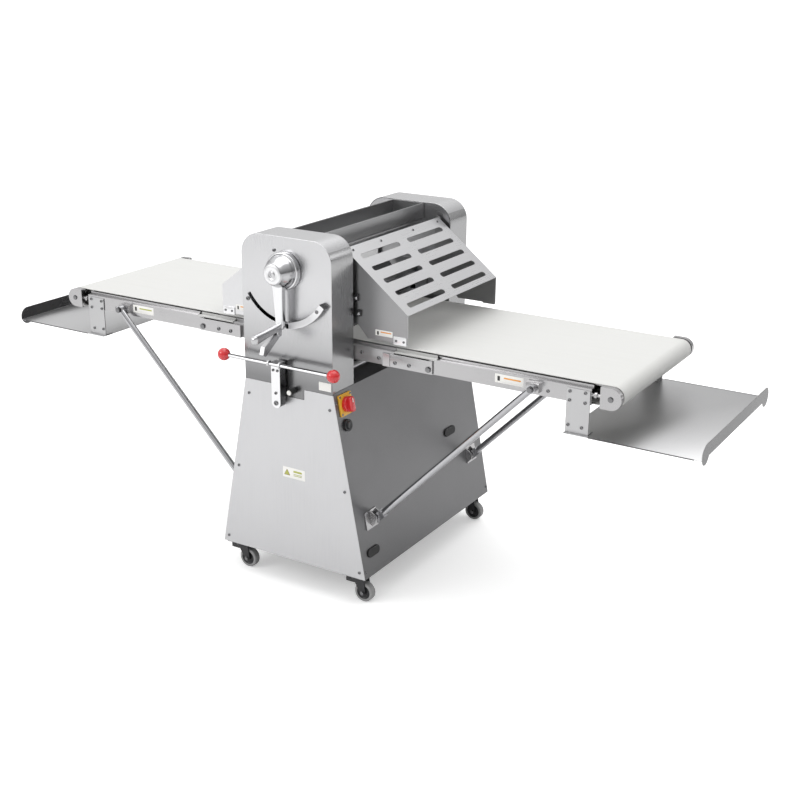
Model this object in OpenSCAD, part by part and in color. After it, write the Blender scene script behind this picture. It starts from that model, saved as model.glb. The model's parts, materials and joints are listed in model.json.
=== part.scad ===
// Floor-standing reversible dough sheeter.
// Millimetres. X runs along the conveyors, -Y faces the operator, +Z is up.
// The origin is on the floor, under the middle of the roll head.

/* [Cabinet] */
// Width of the cabinet across its foot
foot_w = 549; // [450:1:680]
// Width of the roll head, and of the cabinet's top
head_w = 325; // [270:1:400]
// Front-to-back size of the cabinet and head
body_d = 810; // [770:1:1000]
// Height of the cabinet's lower edge above the floor
foot_z = 94; // [88:1:140]
// Height of the cabinet's deck above the floor
deck_z = 680; // [640:1:700]
// Thickness of the cabinet's sheet
sheet_t = 2; // [1.5:0.1:2.5]
// Width of the square tube in the inner frame
tube_w = 30; // [25:1:38]

/* [Roll head] */
// Height of the housings above the deck
head_h = 453; // [440:1:560]
// Radius of the housings' top corners
head_r = 65; // [40:1:80]
// Clear width between the side plates
clear_w = 584; // [560:1:720]
// Thickness of the side plates
plate_t = 8; // [6:0.5:12]
// Diameter of the two sheeting rolls
roll_d = 88; // [70:1:94]
// Roll gap in the stored position
roll_gap = 20; // [20:0.5:24]
// Height of the gap shaft above the upper roll's axis
shaft_rise = 155; // [140:1:165]
// Lift of the upper roll per radian of lever
lift_per_rad = 18.75; // [15:0.25:20]
// Half the lever's swing, in degrees
lever_swing = 55; // [40:1:58]

/* [Conveyors] */
// Height of the belts' top face
belt_z = 816; // [800:1:830]
// Width of a belt
belt_w = 530; // [440:1:536]
// Thickness of a belt
belt_t = 2.7; // [2:0.1:4]
// Diameter of the conveyor rollers
roller_d = 56; // [46:1:60]
// Distance from the middle to a drive roller's axis
drive_x = 82; // [80:1:92]
// Distance from the middle to an end roller's axis
end_x = 987.7; // [820:0.1:1190]
// Distance from the middle to the fold pivot
fold_x = 421; // [405:1:440]
// Depth of a table's side rail
rail_h = 46; // [38:1:56]
// Thickness of the rails, brackets and hinge plates
rail_t = 3; // [2:0.5:4]
// Gap between a belt's edge and the rail's inner face
rail_gap = 17; // [15:1:20]

/* [Catch pans] */
// Distance that a pan reaches past the end roller's axis
pan_reach = 267; // [200:1:330]
// Width of a pan
pan_w = 600; // [520:1:640]
// Height of a pan's upturned lip
pan_lip = 41; // [25:1:60]
// Thickness of a pan's sheet
pan_t = 1.5; // [1:0.5:2.5]

/* [Guards] */
// Horizontal distance that a guard's cover sheet spans
guard_run = 220; // [180:1:235]
// Height that the cover sheet falls over that distance
guard_fall = 173; // [140:1:190]
// Thickness of a guard's sheet
guard_t = 2; // [1.5:0.5:3]
// Length of a finger-proof slot
slot_l = 216; // [150:1:220]
// Width of a finger-proof slot
slot_w = 18; // [10:1:20]
// Rows of slots in a guard
slot_rows = 5; // [3:1:5]

/* [Struts] */
// Diameter of a folding strut's tube
strut_d = 20; // [16:1:22]
// Distance from the end roller to the struts' upper pins
strut_inset = 225.7; // [200:0.1:247]
// Height of a strut's foot
strut_foot_z = 267; // [240:1:330]

/* [Castors] */
// Distance from the middle to a castor, sideways
castor_x = 226; // [190:1:228]
// Distance from the middle to a castor, front to back
castor_y = 360; // [320:1:362]
// Diameter of a castor's wheel
wheel_d = 64; // [54:1:66]
// Width of a castor's wheel
wheel_w = 24; // [18:1:28]
// Distance that a wheel trails its swivel
trail = 20; // [14:1:24]

/* [Levers] */
// Height of the direction lever's pivot
tilt_z = 628; // [610:1:634]
// Distance from that pivot up to the lever's cross rod
rod_rise = 124; // [110:1:135]
// Length of the cross rod, between the balls' centres
rod_l = 404; // [300:1:440]
// Diameter of the red balls
ball_d = 40; // [30:1:44]
// Length of the gap lever's grip
grip_l = 128; // [100:1:140]

/* [Drive] */
// Radius of the motor's pulley
motor_pulley_r = 36; // [30:1:40]
// Radius of the roll's pulley
roll_pulley_r = 80; // [66:1:86]
// Height of the motor's axis above its shelf
motor_rise = 90; // [86:1:110]

/* [Hidden] */
$fn = 48;

run_fit = 0.05;      // radial clearance of a shaft in its bore
slide_fit = 0.5;     // clearance beside a sliding block, and round a strut's hook pin
seat = 0.05;         // clearance between separate pieces that are bolted together
soft_gap = 0.3;      // clearance between a belt and its pulley

// Cabinet outline
foot_half = foot_w / 2;
head_half = head_w / 2;
body_half = body_d / 2;
slope = (foot_half - head_half) / (deck_z - foot_z);
side_angle = atan(slope);
wall_x = sheet_t / cos(side_angle);
function side_x(z) = foot_half - slope * (z - foot_z);
function inner_x(z) = side_x(z) - wall_x;
wall_y = body_half - sheet_t;
front_top_z = deck_z - 6;
notch_half = 58;
notch_z = deck_z - 38;

// Head outline
head_top = deck_z + head_h;
plate_in = clear_w / 2;
plate_out = plate_in + plate_t;
plate_inset = sheet_t + 0.5;

// Rolls
roll_r = roll_d / 2;
low_z = belt_z - roll_r;
top_z = belt_z + roll_gap + roll_r;
roll_half = plate_in - 17;
journal_r = 15;
shaft_z = top_z + shaft_rise;
shaft_r = 12;
travel = lift_per_rad * lever_swing * PI / 180;

// Conveyors
roller_r = roller_d / 2;
loop_r = roller_r + soft_gap;
belt_r = loop_r + belt_t;
roller_z = belt_z - belt_r;
belt_half = belt_w / 2;
drive_journal_r = 10;
rail_in = belt_half + rail_gap;
rail_out = rail_in + rail_t;
rail_top = belt_z - 13;
rail_low = rail_top - rail_h;
fold_z = rail_low + 14;
bed_top = belt_z - belt_t - 0.8;
bed_t = 3;
edge_lip = 11;
lower_run_room = 8.3;
cross_z = roller_z - loop_r + lower_run_room;
end_cap_w = 18;
rail_end = end_x - 57.7;
moving_bed_x = fold_x + 3;
fixed_bed_x = fold_x - 48;
leaf_x0 = fold_x - 131;
leaf_x1 = fold_x + 13;
leaf_in = rail_out + 2;
leaf_t = 4;
block_w = 24;

// Guards
guard_x = 118;
guard_z = head_top - 50;
guard_slope = atan(guard_fall / guard_run);
guard_l = sqrt(pow(guard_run, 2) + pow(guard_fall, 2));
guard_low = belt_z + 13;
cheek_y = plate_in - 15;
hinge_rod_r = 6;
slot_pitch = 51.5;
slot_first = 44;

// Flour tray and tie bars
tie_x = 45;
tie_r = 9.5;
tray_z = head_top - 53;
tie_z = tray_z - tie_r - 0.5;
tray_half_w = 61;
tray_wall = 1.5;

// Struts
strut_r = strut_d / 2;
strut_y = leaf_in + leaf_t + 7 + strut_r;
strut_top_x = end_x - strut_inset;
strut_top_z = rail_low + 23;
hook_r = 7;
strut_foot_x = side_x(strut_foot_z) + 17.5;
strut_dx = strut_top_x - strut_foot_x;
strut_dz = strut_top_z - strut_foot_z;
strut_l = sqrt(pow(strut_dx, 2) + pow(strut_dz, 2));
strut_angle = atan(strut_dz / strut_dx);
strut_pin_r = 6;

// Catch pans
pan_x0 = end_x - 129.7;
pan_x1 = end_x + pan_reach;
pan_top = rail_low - 89;
pan_plate_w = 70;

// Drive
shelf_z = foot_z + tube_w;
shelf_t = 6;
motor_z = shelf_z + shelf_t + motor_rise;
motor_r = 75;
motor_y0 = 30;
motor_y1 = 290;
pulley_y = plate_out + 25;
pulley_w = 24;
vee_t = 8;
chain_a = plate_out + 39;
chain_b = plate_out + 51;
chain_w = 6;
sprocket_r = 20;
chain_t = 5.7;

// Gap lever and its cams
cam_y = plate_out + 11;
cam_w = 12;
cam_r0 = 50;
pin_r = 6;
pin_rise = cam_r0 + 7.35;
yoke_y = plate_out + 3;
yoke_w = 6;
block_half = 30;
hub_r = 57;
hub_y = body_half + 2;
arm_l = 165;
arm_y = body_half + 24;
scale_t = 19;

// Direction lever
tilt_x = -21;
rod_x = -10;
tilt_shaft_r = 8;
bar_w = 32;
bar_y0 = body_half + 7;
bar_y1 = body_half + 35;
rod_r = 6;
rod_y0 = bar_y1 + rod_r - 2;

// Controls on the sloping right-hand side
switch_y = -(body_half - 52);
switch_z = deck_z - 44;
button_y = -(body_half - 44);
button_z = deck_z - 107;

// ---------------------------------------------------------------- helpers

// Extrudes an outline drawn in the XZ plane from y0 to y1
module along_y(y0, y1) translate([0, y1, 0]) rotate([90, 0, 0]) linear_extrude(y1 - y0) children();

// A round bar along Y, or with a bore, a ring
module rod_y(x, z, r, y0, y1) along_y(y0, y1) translate([x, z]) circle(r);
module ring_y(x, z, r, bore, y0, y1) along_y(y0, y1) translate([x, z])
    difference() { circle(r); circle(bore); }

module both_y() { children(); mirror([0, 1, 0]) children(); }
module both_x() { children(); mirror([1, 0, 0]) children(); }

// Outline with an upright rectangle and two rounded top corners
module arch(half, z0, z1, r) {
    translate([-half, z0]) square([2 * half, z1 - r - z0]);
    translate([-(half - r), z0]) square([2 * (half - r), z1 - z0]);
    for (s = [-1, 1]) translate([s * (half - r), z1 - r]) circle(r);
}

// Outline of a belt or chain round two equal circles
module stadium(x0, z0, x1, z1, r) {
    run = sqrt(pow(x1 - x0, 2) + pow(z1 - z0, 2));
    translate([x0, z0]) rotate(atan2(z1 - z0, x1 - x0)) {
        circle(r);
        translate([run, 0]) circle(r);
        translate([0, -r]) square([run, 2 * r]);
    }
}
module loop_band(x0, z0, x1, z1, r, t) difference() {
    stadium(x0, z0, x1, z1, r + t);
    stadium(x0, z0, x1, z1, r);
}

// Outline of a belt round two unequal circles, one above the other
module taper_loop(z0, r0, z1, r1) {
    lean = asin((r1 - r0) / (z1 - z0));
    translate([0, z0]) circle(r0);
    translate([0, z1]) circle(r1);
    polygon([
        [r0 * cos(lean), z0 - r0 * sin(lean)], [r1 * cos(lean), z1 - r1 * sin(lean)],
        [-r1 * cos(lean), z1 - r1 * sin(lean)], [-r0 * cos(lean), z0 - r0 * sin(lean)]]);
}

// A rounded slot along X, centred
module obround(l, w) {
    for (s = [-1, 1]) translate([s * (l - w) / 2, 0]) circle(w / 2);
    square([l - w, w], center = true);
}

// Places things on the sloping right-hand side, with +Z as its outward normal
module on_side(y, z) translate([side_x(z), y, z]) rotate([0, 90 - side_angle, 0]) children();

// A low round screw head on a face that looks to -Y
module head_front(x, z, y, r = 5, h = 2) rod_y(x, z, r, -y - h, -y);

// ---------------------------------------------------------------- cabinet

module frame_post() along_y(wall_y - tube_w, wall_y) polygon([
    [inner_x(shelf_z), shelf_z], [inner_x(deck_z - sheet_t - 1), deck_z - sheet_t - 1],
    [inner_x(deck_z - sheet_t - 1) - tube_w, deck_z - sheet_t - 1],
    [inner_x(shelf_z) - tube_w, shelf_z]]);

module castor_plate() {
    translate([castor_x - 40, castor_y - 40, foot_z - 4]) cube([80, 80, 4]);
    translate([castor_x, castor_y, foot_z - 21]) cylinder(r = 6, h = 18);
    translate([castor_x, castor_y, foot_z - 24]) cylinder(r = 9, h = 3.4);
}

module base_frame() color("dimgray") {
    ring_x = inner_x(shelf_z);
    both_x() translate([ring_x - tube_w, -wall_y, foot_z]) cube([tube_w, 2 * wall_y, tube_w]);
    both_y() translate([-ring_x, wall_y - tube_w, foot_z]) cube([2 * ring_x, tube_w, tube_w]);
    both_x() both_y() { frame_post(); castor_plate(); }
    beam_x = inner_x(deck_z - sheet_t - 1) - tube_w / 2;
    both_y() translate([-beam_x, wall_y - tube_w, deck_z - sheet_t - 1 - tube_w])
        cube([2 * beam_x, 10, tube_w]);
    translate([-ring_x + 5, -40, shelf_z - 1])
        cube([2 * ring_x - 10, wall_y + 40 - tube_w / 2, shelf_t + 1]);
}

module end_outline(z1) polygon([
    [-foot_half, foot_z], [foot_half, foot_z], [side_x(z1), z1], [-side_x(z1), z1]]);

module front_panel() color("silver") along_y(-body_half, -wall_y) difference() {
    end_outline(front_top_z);
    translate([-notch_half, notch_z]) square([2 * notch_half, 60]);
    translate([tilt_x, tilt_z]) circle(tilt_shaft_r + run_fit);
}

module rear_panel() color("silver") along_y(wall_y, body_half) difference() {
    end_outline(front_top_z);
    for (k = [0:5]) translate([0, foot_z + 90 + 22 * k]) obround(150, 7);
    translate([150, foot_z + 60]) circle(12);
}

module side_sheet() along_y(-wall_y, wall_y) polygon([
    [side_x(foot_z), foot_z], [side_x(deck_z), deck_z], [inner_x(deck_z), deck_z],
    [inner_x(foot_z), foot_z]]);

module right_panel() color("gray") difference() {
    side_sheet();
    on_side(switch_y, switch_z) translate([0, 0, -10]) cylinder(r = 12, h = 20);
    on_side(button_y, button_z) translate([0, 0, -10]) cylinder(r = 13, h = 20);
}

module left_panel() color("gray") mirror([1, 0, 0]) side_sheet();

module deck_plate() color("gray") difference() {
    along_y(-wall_y + 1, wall_y - 1) polygon([
        [-inner_x(deck_z - sheet_t) + 0.3, deck_z - sheet_t],
        [inner_x(deck_z - sheet_t) - 0.3, deck_z - sheet_t],
        [inner_x(deck_z) - 0.3, deck_z], [-inner_x(deck_z) + 0.3, deck_z]]);
    translate([-roll_pulley_r - 12, pulley_y - 8, deck_z - 20])
        cube([2 * roll_pulley_r + 24, pulley_w + 16, 40]);
}

// ---------------------------------------------------------------- head

module housing_shell(z0) {
    along_y(plate_in, body_half) difference() {
        arch(head_half, deck_z + 0.3, head_top, head_r);
        arch(head_half - sheet_t, deck_z - 1, head_top - sheet_t, head_r - sheet_t);
    }
    along_y(wall_y, body_half) arch(head_half, z0, head_top, head_r);
}

module lever_slot() intersection() {
    difference() { circle(arm_l + 4); circle(arm_l - 8); }
    polygon([[0, 0], [-300 * sin(58), -300 * cos(58)], [0, -600], [300 * sin(58), -300 * cos(58)]]);
}

module front_housing() color("silver") mirror([0, 1, 0]) difference() {
    union() {
        housing_shell(front_top_z + 0.5);
        along_y(wall_y, body_half) translate([-notch_half + 0.5, notch_z + 0.5])
            square([2 * notch_half - 1, 60]);
    }
    rod_y(0, shaft_z, shaft_r + 4, wall_y - 1, body_half + 1);
    along_y(wall_y - 1, body_half + 1) translate([0, shaft_z]) lever_slot();
}

module rear_housing() color("silver") housing_shell(front_top_z + 0.5);

module side_plate() along_y(plate_in, plate_out) difference() {
    arch(head_half - plate_inset, deck_z + 0.3, head_top - plate_inset, head_r - plate_inset);
    translate([0, low_z]) circle(journal_r + 2);
    for (s = [-1, 1]) translate([s * drive_x, roller_z]) circle(drive_journal_r + 2);
    translate([-block_half - slide_fit, top_z - 31 - travel])
        square([2 * (block_half + slide_fit), 62 + 2 * travel]);
    translate([0, shaft_z]) circle(shaft_r + run_fit);
    for (s = [-1, 1]) {
        translate([s * tie_x, tie_z]) circle(4);
        translate([s * 120, deck_z + 35]) circle(4);
        translate([s * guard_x, guard_z]) circle(3);
    }
}

// A bar between the side plates, with studs that reach into them
module tie_bar(x, z, r, stud) {
    rod_y(x, z, r, -plate_in + seat, plate_in - seat);
    rod_y(x, z, stud - run_fit, -plate_out, plate_out);
}

module head_frame() color("dimgray") {
    both_y() side_plate();
    for (s = [-1, 1]) {
        tie_bar(s * tie_x, tie_z, tie_r, 4);
        tie_bar(s * 120, deck_z + 35, 10, 4);
        tie_bar(s * guard_x, guard_z, hinge_rod_r, 3);
    }
}

module roll_bearings() color("gray") both_y() {
    ring_y(0, low_z, 34, journal_r + run_fit, plate_out + seat, plate_out + 14);
    for (s = [-1, 1])
        ring_y(s * drive_x, roller_z, 18, drive_journal_r + run_fit, plate_out + seat, plate_out + 9);
}

module scraper(side) {
    tip = 50;
    along_y(-belt_half, belt_half) polygon([
        [side * (roll_r + 0.8) * cos(tip), low_z - (roll_r + 0.8) * sin(tip)],
        [side * (roll_r + 2.6) * cos(tip), low_z - (roll_r + 2.6) * sin(tip)],
        [side * 25.5, low_z - 73], [side * 23.5, low_z - 73]]);
}

// Blades under the lower roll, on square bars between the side plates
module lower_scrapers() color("silver") for (s = [-1, 1]) {
    scraper(s);
    translate([s * 24.5 - 6, -plate_in + seat, low_z - 85])
        cube([12, 2 * (plate_in - seat), 12]);
}

module flour_tray() color("silver") difference() {
    half_l = plate_in - 2;
    translate([-tray_half_w, -half_l, tray_z]) cube([2 * tray_half_w, 2 * half_l, 51]);
    translate([-tray_half_w + tray_wall, -half_l + tray_wall, tray_z + tray_wall])
        cube([2 * (tray_half_w - tray_wall), 2 * (half_l - tray_wall), 60]);
}

module lower_roll() color("lightgray") {
    rod_y(0, low_z, roll_r, -roll_half, roll_half);
    rod_y(0, low_z, journal_r, -chain_b - chain_w - 4, pulley_y + pulley_w + 4);
    for (y = [chain_a, chain_b])
        ring_y(0, low_z, sprocket_r, journal_r + run_fit, -y - chain_w, -y);
    ring_y(0, low_z, roll_pulley_r, journal_r + run_fit, pulley_y, pulley_y + pulley_w);
}

module upper_roll() color("lightgray") {
    rod_y(0, top_z, roll_r, -roll_half + 6, roll_half - 6);
    rod_y(0, top_z, journal_r, -plate_out, plate_out);
}

// Bearing block with its inner flange, its outer yoke and the pin that rides on the cam
module carriage_end() difference() {
    union() {
        along_y(plate_in - 9, plate_in - 3) translate([-76, top_z - 30]) square([152, 92]);
        along_y(plate_in - 5, yoke_y + 2) translate([-block_half, top_z - 30])
            square([2 * block_half, 60]);
        along_y(yoke_y, yoke_y + yoke_w) translate([-24, top_z - 29])
            square([48, shaft_z + pin_rise + 12 - top_z + 29]);
        rod_y(0, shaft_z + pin_rise, pin_r, yoke_y + 2, cam_y + cam_w + 2);
    }
    rod_y(0, top_z, journal_r + run_fit, plate_in - 12, yoke_y + yoke_w + 2);
    along_y(yoke_y - 2, yoke_y + yoke_w + 1) translate([0, shaft_z]) rotate(90)
        obround(2 * (travel + shaft_r + 3), 2 * shaft_r + 3);
}

module upper_blade(side) {
    tip_x = (roll_r + 1.6) * cos(30);
    tip_z = top_z + (roll_r + 1.6) * sin(30);
    along_y(-belt_half, belt_half) polygon([
        [side * (tip_x - 0.7), tip_z + 0.7], [side * (tip_x + 0.7), tip_z - 0.7],
        [side * 66, top_z + 48], [side * 64, top_z + 50]]);
    rod_y(side * 65, top_z + 51, 6, -plate_in + 9 + seat, plate_in - 9 - seat);
}

module roll_carriage() color("gray") {
    both_y() carriage_end();
    for (s = [-1, 1]) upper_blade(s);
}

// ---------------------------------------------------------------- gap lever

// Spiral cam: its radius grows evenly with angle, so the roll lifts evenly
module spiral_cam() difference() {
    union() {
        circle(22);
        polygon(concat([[0, 0]], [for (a = [-66:6:66])
            let (r = cam_r0 - lift_per_rad * a * PI / 180) [r * sin(a), r * cos(a)]]));
    }
    circle(shaft_r + run_fit);
}

module gap_shaft() color("gray") {
    rod_y(0, shaft_z, shaft_r, -body_half - 44, cam_y + cam_w + 4);
    both_y() along_y(cam_y, cam_y + cam_w) translate([0, shaft_z]) spiral_cam();
}

// Turned hub with a domed cap, and a tapered arm that leans in towards its foot
module gap_lever() color("lightgray") difference() {
    union() {
        rod_y(0, shaft_z, hub_r, -hub_y - 20, -hub_y);
        translate([0, -hub_y - 20, shaft_z]) rotate([90, 0, 0]) rotate_extrude() polygon([
            [0, 0], [54, 0], [51, 12], [45, 26], [37, 37], [22, 45], [0, 47]]);
        intersection() {
            along_y(-body_half - 70, -body_half) polygon([
                [-22, shaft_z], [22, shaft_z], [17, shaft_z - arm_l], [10, shaft_z - arm_l - 9],
                [-10, shaft_z - arm_l - 9], [-17, shaft_z - arm_l]]);
            rotate([90, 0, 90]) translate([0, 0, -30]) linear_extrude(60) polygon([
                [-arm_y - 22, shaft_z], [-arm_y - 2, shaft_z], [-arm_y + 1, shaft_z - arm_l - 9],
                [-arm_y - 15, shaft_z - arm_l - 9]]);
        }
    }
    rod_y(0, shaft_z, shaft_r + run_fit, -body_half - 44.2, -body_half);
}

grip_y = arm_y + 15;
grip_z = shaft_z - arm_l + 2;
trigger_y = grip_y + 14;
trigger_z = grip_z - 20;

// Cheeks and pin that carry the trigger, under the grip's root
module trigger_bracket() {
    for (s = [-1, 1]) translate([s * 9.5 - 1.5, -trigger_y - 6, trigger_z - 6])
        cube([3, trigger_y - grip_y + 5, 22]);
    translate([-11, -trigger_y, trigger_z]) rotate([0, 90, 0]) cylinder(r = 2.5, h = 22);
}

module gap_grip() color("lightgray") {
    translate([0, -grip_y - seat, grip_z]) rotate([98, 0, 0]) {
        cylinder(r = 10, h = grip_l - 14);
        translate([0, 0, grip_l - 14]) cylinder(r = 12, h = 14);
    }
    trigger_bracket();
}

module gap_trigger() color("gray") {
    along_x = 7;
    difference() {
        rotate([90, 0, 90]) translate([0, 0, -along_x]) linear_extrude(2 * along_x) polygon([
            [-trigger_y + 7, trigger_z + 3], [-trigger_y + 7, trigger_z - 9],
            [-trigger_y - 62, trigger_z - 52], [-trigger_y - 74, trigger_z - 44],
            [-trigger_y - 66, trigger_z - 22], [-trigger_y - 7, trigger_z + 3]]);
        translate([-along_x - 1, -trigger_y, trigger_z]) rotate([0, 90, 0])
            cylinder(r = 2.5 + run_fit, h = 2 * along_x + 2);
    }
}

module gap_scale() color("lightgray") mirror([0, 1, 0]) along_y(body_half, body_half + scale_t)
    translate([0, shaft_z]) difference() {
        intersection() {
            circle(arm_l + 9);
            polygon([[0, 0], [300 * sin(4), -300 * cos(4)], [300 * sin(31), -300 * cos(31)],
                [300 * sin(58), -300 * cos(58)]]);
        }
        circle(arm_l - 12);
    }

// ---------------------------------------------------------------- direction lever

module direction_lever() color("silver") {
    rod_y(tilt_x, tilt_z, tilt_shaft_r, -bar_y0, -body_half + 60);
    along_y(-bar_y1, -bar_y0) {
        translate([tilt_x - bar_w / 2, tilt_z]) square([bar_w, rod_rise + 4]);
        translate([tilt_x, tilt_z]) circle(bar_w / 2);
    }
    half_rod = rod_l / 2 - ball_d / 2 + 6;
    translate([rod_x - half_rod, -rod_y0, tilt_z + rod_rise]) rotate([0, 90, 0])
        cylinder(r = rod_r, h = 2 * half_rod);
}

module lever_balls() color("red") for (s = [-1, 1])
    translate([rod_x + s * rod_l / 2, -rod_y0, tilt_z + rod_rise]) difference() {
        sphere(r = ball_d / 2);
        translate([s * -ball_d / 2, 0, 0]) rotate([0, 90, 0])
            translate([0, 0, -7]) cylinder(r = rod_r + run_fit, h = 14);
    }

// ---------------------------------------------------------------- controls

module control_bezels() {
    color("gold") on_side(switch_y, switch_z) translate([-33, -33, seat]) difference() {
        cube([66, 66, 5]);
        translate([33, 33, -1]) cylinder(r = 10 + run_fit, h = 8);
    }
    color("black") on_side(button_y, button_z) translate([0, 0, seat]) difference() {
        cylinder(r = 19, h = 8);
        translate([0, 0, -1]) cylinder(r = 12.5, h = 10);
    }
}

module main_switch_knob() color("red") on_side(switch_y, switch_z) {
    translate([0, 0, -9]) cylinder(r = 10, h = 14.5);
    translate([0, 0, 5.5]) cylinder(r = 24, h = 12);
    translate([-9, -24, 17.5]) cube([18, 48, 14]);
}

module start_button() color("black") on_side(button_y, button_z) {
    translate([0, 0, -8]) cylinder(r = 8, h = 8);
    cylinder(r = 12, h = 13);
}

module grommet(y, z, l) on_side(y, z) translate([0, 0, seat]) linear_extrude(5)
    rotate(90) obround(l, 28);

// Oval blanking plugs, the mains cable's gland and the lever's end buffer
module rubber_fittings() color("black") {
    grommet(-(body_half - 67), foot_z + 71, 64);
    grommet(207, foot_z + 285, 69);
    ring_y(150, foot_z + 60, 18, 5, body_half + seat, body_half + 22);
    rod_y(22, notch_z + 24, 9, -body_half - 26, -body_half - seat);
}

module electrical_box() color("gainsboro")
    translate([-130, -wall_y + seat, 300]) cube([110, 100, 190]);

module labels() color("white") {
    along_y(-body_half - 0.5, -body_half - seat) translate([-28, 375]) square([84, 35]);
    along_y(-body_half - 0.5, -body_half - seat) translate([113, deck_z + 5]) square([44, 27]);
}

module fasteners() color("gray") {
    for (s = [-1, 1]) {
        head_front(s * 151, deck_z - 53, body_half + seat);
        head_front(s * 203, foot_z + 280, body_half + seat);
        head_front(s * 254, foot_z + 22, body_half + seat);
    }
    head_front(-40, head_top - 43, body_half + seat);
    head_front(-(arm_l + 12) * sin(53.5), shaft_z - (arm_l + 12) * cos(53.5), body_half + seat, 6, 8);
    head_front((arm_l - 4) * sin(49.5), shaft_z - (arm_l - 4) * cos(49.5), body_half + scale_t + seat, 6, 4);
    mirror([0, 1, 0]) for (s = [-1, 1], z = [foot_z + 22, foot_z + 280, deck_z - 53])
        head_front(s * (side_x(z) - 14), z, body_half + seat);
    for (s = [-1, 1], z = [foot_z + 22, deck_z - 30]) on_side(s * (body_half - 9), z)
        translate([0, 0, seat]) cylinder(r = 5, h = 2);
}

// ---------------------------------------------------------------- motor and drive

module motor() color("steelblue") {
    difference() {
        rod_y(0, motor_z, motor_r, motor_y0, motor_y1);
        rod_y(0, motor_z, shaft_r + run_fit, motor_y1 - 60, motor_y1 + 1);
    }
    for (y = [motor_y0 + 30, motor_y1 - 60]) difference() {
        translate([-60, y, shelf_z + shelf_t]) cube([120, 30, motor_rise - motor_r + 20]);
        rod_y(0, motor_z, motor_r - 5, y - 1, y + 31);
    }
}

module motor_pulley() color("dimgray") {
    rod_y(0, motor_z, shaft_r, motor_y1 - 50, pulley_y + pulley_w + 4);
    ring_y(0, motor_z, motor_pulley_r, shaft_r + run_fit, pulley_y, pulley_y + pulley_w);
}

module drive_belt() color("black") along_y(pulley_y + 4, pulley_y + pulley_w - 4) difference() {
    taper_loop(motor_z, motor_pulley_r + soft_gap + vee_t, low_z, roll_pulley_r + soft_gap + vee_t);
    taper_loop(motor_z, motor_pulley_r + soft_gap, low_z, roll_pulley_r + soft_gap);
}

module conveyor_chains() color("dimgray") {
    along_y(-chain_a - chain_w, -chain_a)
        loop_band(0, low_z, drive_x, roller_z, sprocket_r + soft_gap, chain_t);
    along_y(-chain_b - chain_w, -chain_b)
        loop_band(0, low_z, -drive_x, roller_z, sprocket_r + soft_gap, chain_t);
}

// ---------------------------------------------------------------- tables, drawn for the right-hand side

module drive_roller(plane) {
    rod_y(drive_x, roller_z, roller_r, -belt_half - 3, belt_half + 3);
    rod_y(drive_x, roller_z, drive_journal_r, -plane - chain_w - 2, plate_out + 12);
    ring_y(drive_x, roller_z, sprocket_r, drive_journal_r + run_fit, -plane - chain_w, -plane);
}

// A cross member that ties two rails and carries the bed on a riser
module cross_member(x) {
    translate([x, -rail_in, cross_z]) cube([30, 2 * rail_in, rail_top - 6 - cross_z]);
    translate([x, -belt_half + 10, rail_top - 7]) cube([30, belt_w - 20, bed_top - bed_t - rail_top + 7]);
}

module fixed_bed() {
    translate([drive_x + 36, -belt_half + 3, bed_top - bed_t])
        cube([fixed_bed_x - drive_x - 36, belt_w - 6, bed_t]);
    for (x = [drive_x + 48, fixed_bed_x - 133]) cross_member(x);
    both_y() {
        translate([drive_x + 40, rail_in, rail_low]) cube([leaf_x0 + 10 - drive_x - 40, rail_t, rail_h]);
        translate([drive_x + 40, rail_in - 14, rail_top - rail_t])
            cube([leaf_x0 + 10 - drive_x - 40, 14.5, rail_t]);
        translate([drive_x + 40, rail_in - 14, rail_top - rail_t])
            cube([leaf_x0 + 10 - drive_x - 40, 2, edge_lip]);
        translate([drive_x + 46, rail_out, rail_low + 11])
            cube([24, plate_in - rail_out - seat, 26]);
    }
}

module bed_ends() color("silver") both_x() fixed_bed();

module hinge_plate() both_y() {
    translate([leaf_x0 - block_w, rail_out + seat, rail_low]) cube([block_w, 9, rail_h - 6]);
    along_y(leaf_in, leaf_in + leaf_t)
        translate([leaf_x0, rail_low]) square([leaf_x1 - leaf_x0, rail_h - 6]);
    translate([leaf_x0, rail_out + seat, rail_low]) cube([10, 2 - seat, rail_h - 6]);
    rod_y(fold_x, fold_z, 6, rail_in - 3, leaf_in);
}

module hinge_plates() color("silver") both_x() hinge_plate();

// Side rails with their inturned flanges, the tension screws and the roller's end caps
module rails() {
    both_y() {
        along_y(rail_in, rail_out) difference() {
            union() {
                translate([fold_x, rail_low]) square([rail_end - fold_x, rail_h]);
                translate([fold_x, fold_z]) circle(14);
            }
            translate([fold_x, fold_z]) circle(6 + run_fit);
        }
        for (z = [rail_low, rail_top - rail_t]) translate([fold_x + 20, rail_in - 13, z])
            cube([rail_end - fold_x - 20, 13, rail_t]);
        translate([fold_x + 20, rail_in - 14, rail_top - rail_t]) cube([rail_end - fold_x - 20, 2, edge_lip]);
        translate([rail_end - 26, rail_in - 12, roller_z - 8]) cube([26, 12, 16]);
        translate([rail_end, rail_in - 5, roller_z]) rotate([0, 90, 0]) cylinder(r = 5, h = 30);
        translate([rail_end + 8, rail_in - 5, roller_z]) rotate([0, 90, 0]) cylinder(r = 9, h = 7);
        along_y(rail_out + 5 - end_cap_w, rail_out + 5) difference() {
            union() {
                translate([end_x, roller_z]) circle(belt_r);
                translate([rail_end + 27, roller_z - belt_r]) square([end_x - rail_end - 27, 2 * belt_r]);
            }
            translate([end_x, roller_z]) circle(8 + run_fit);
        }
        along_y(rail_out, strut_y - strut_r - 1) translate([strut_top_x - 24, strut_top_z - 14])
            square([40, 28]);
        rod_y(strut_top_x, strut_top_z, strut_pin_r, strut_y - strut_r - 1, strut_y + strut_r + 3);
    }
}

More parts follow.
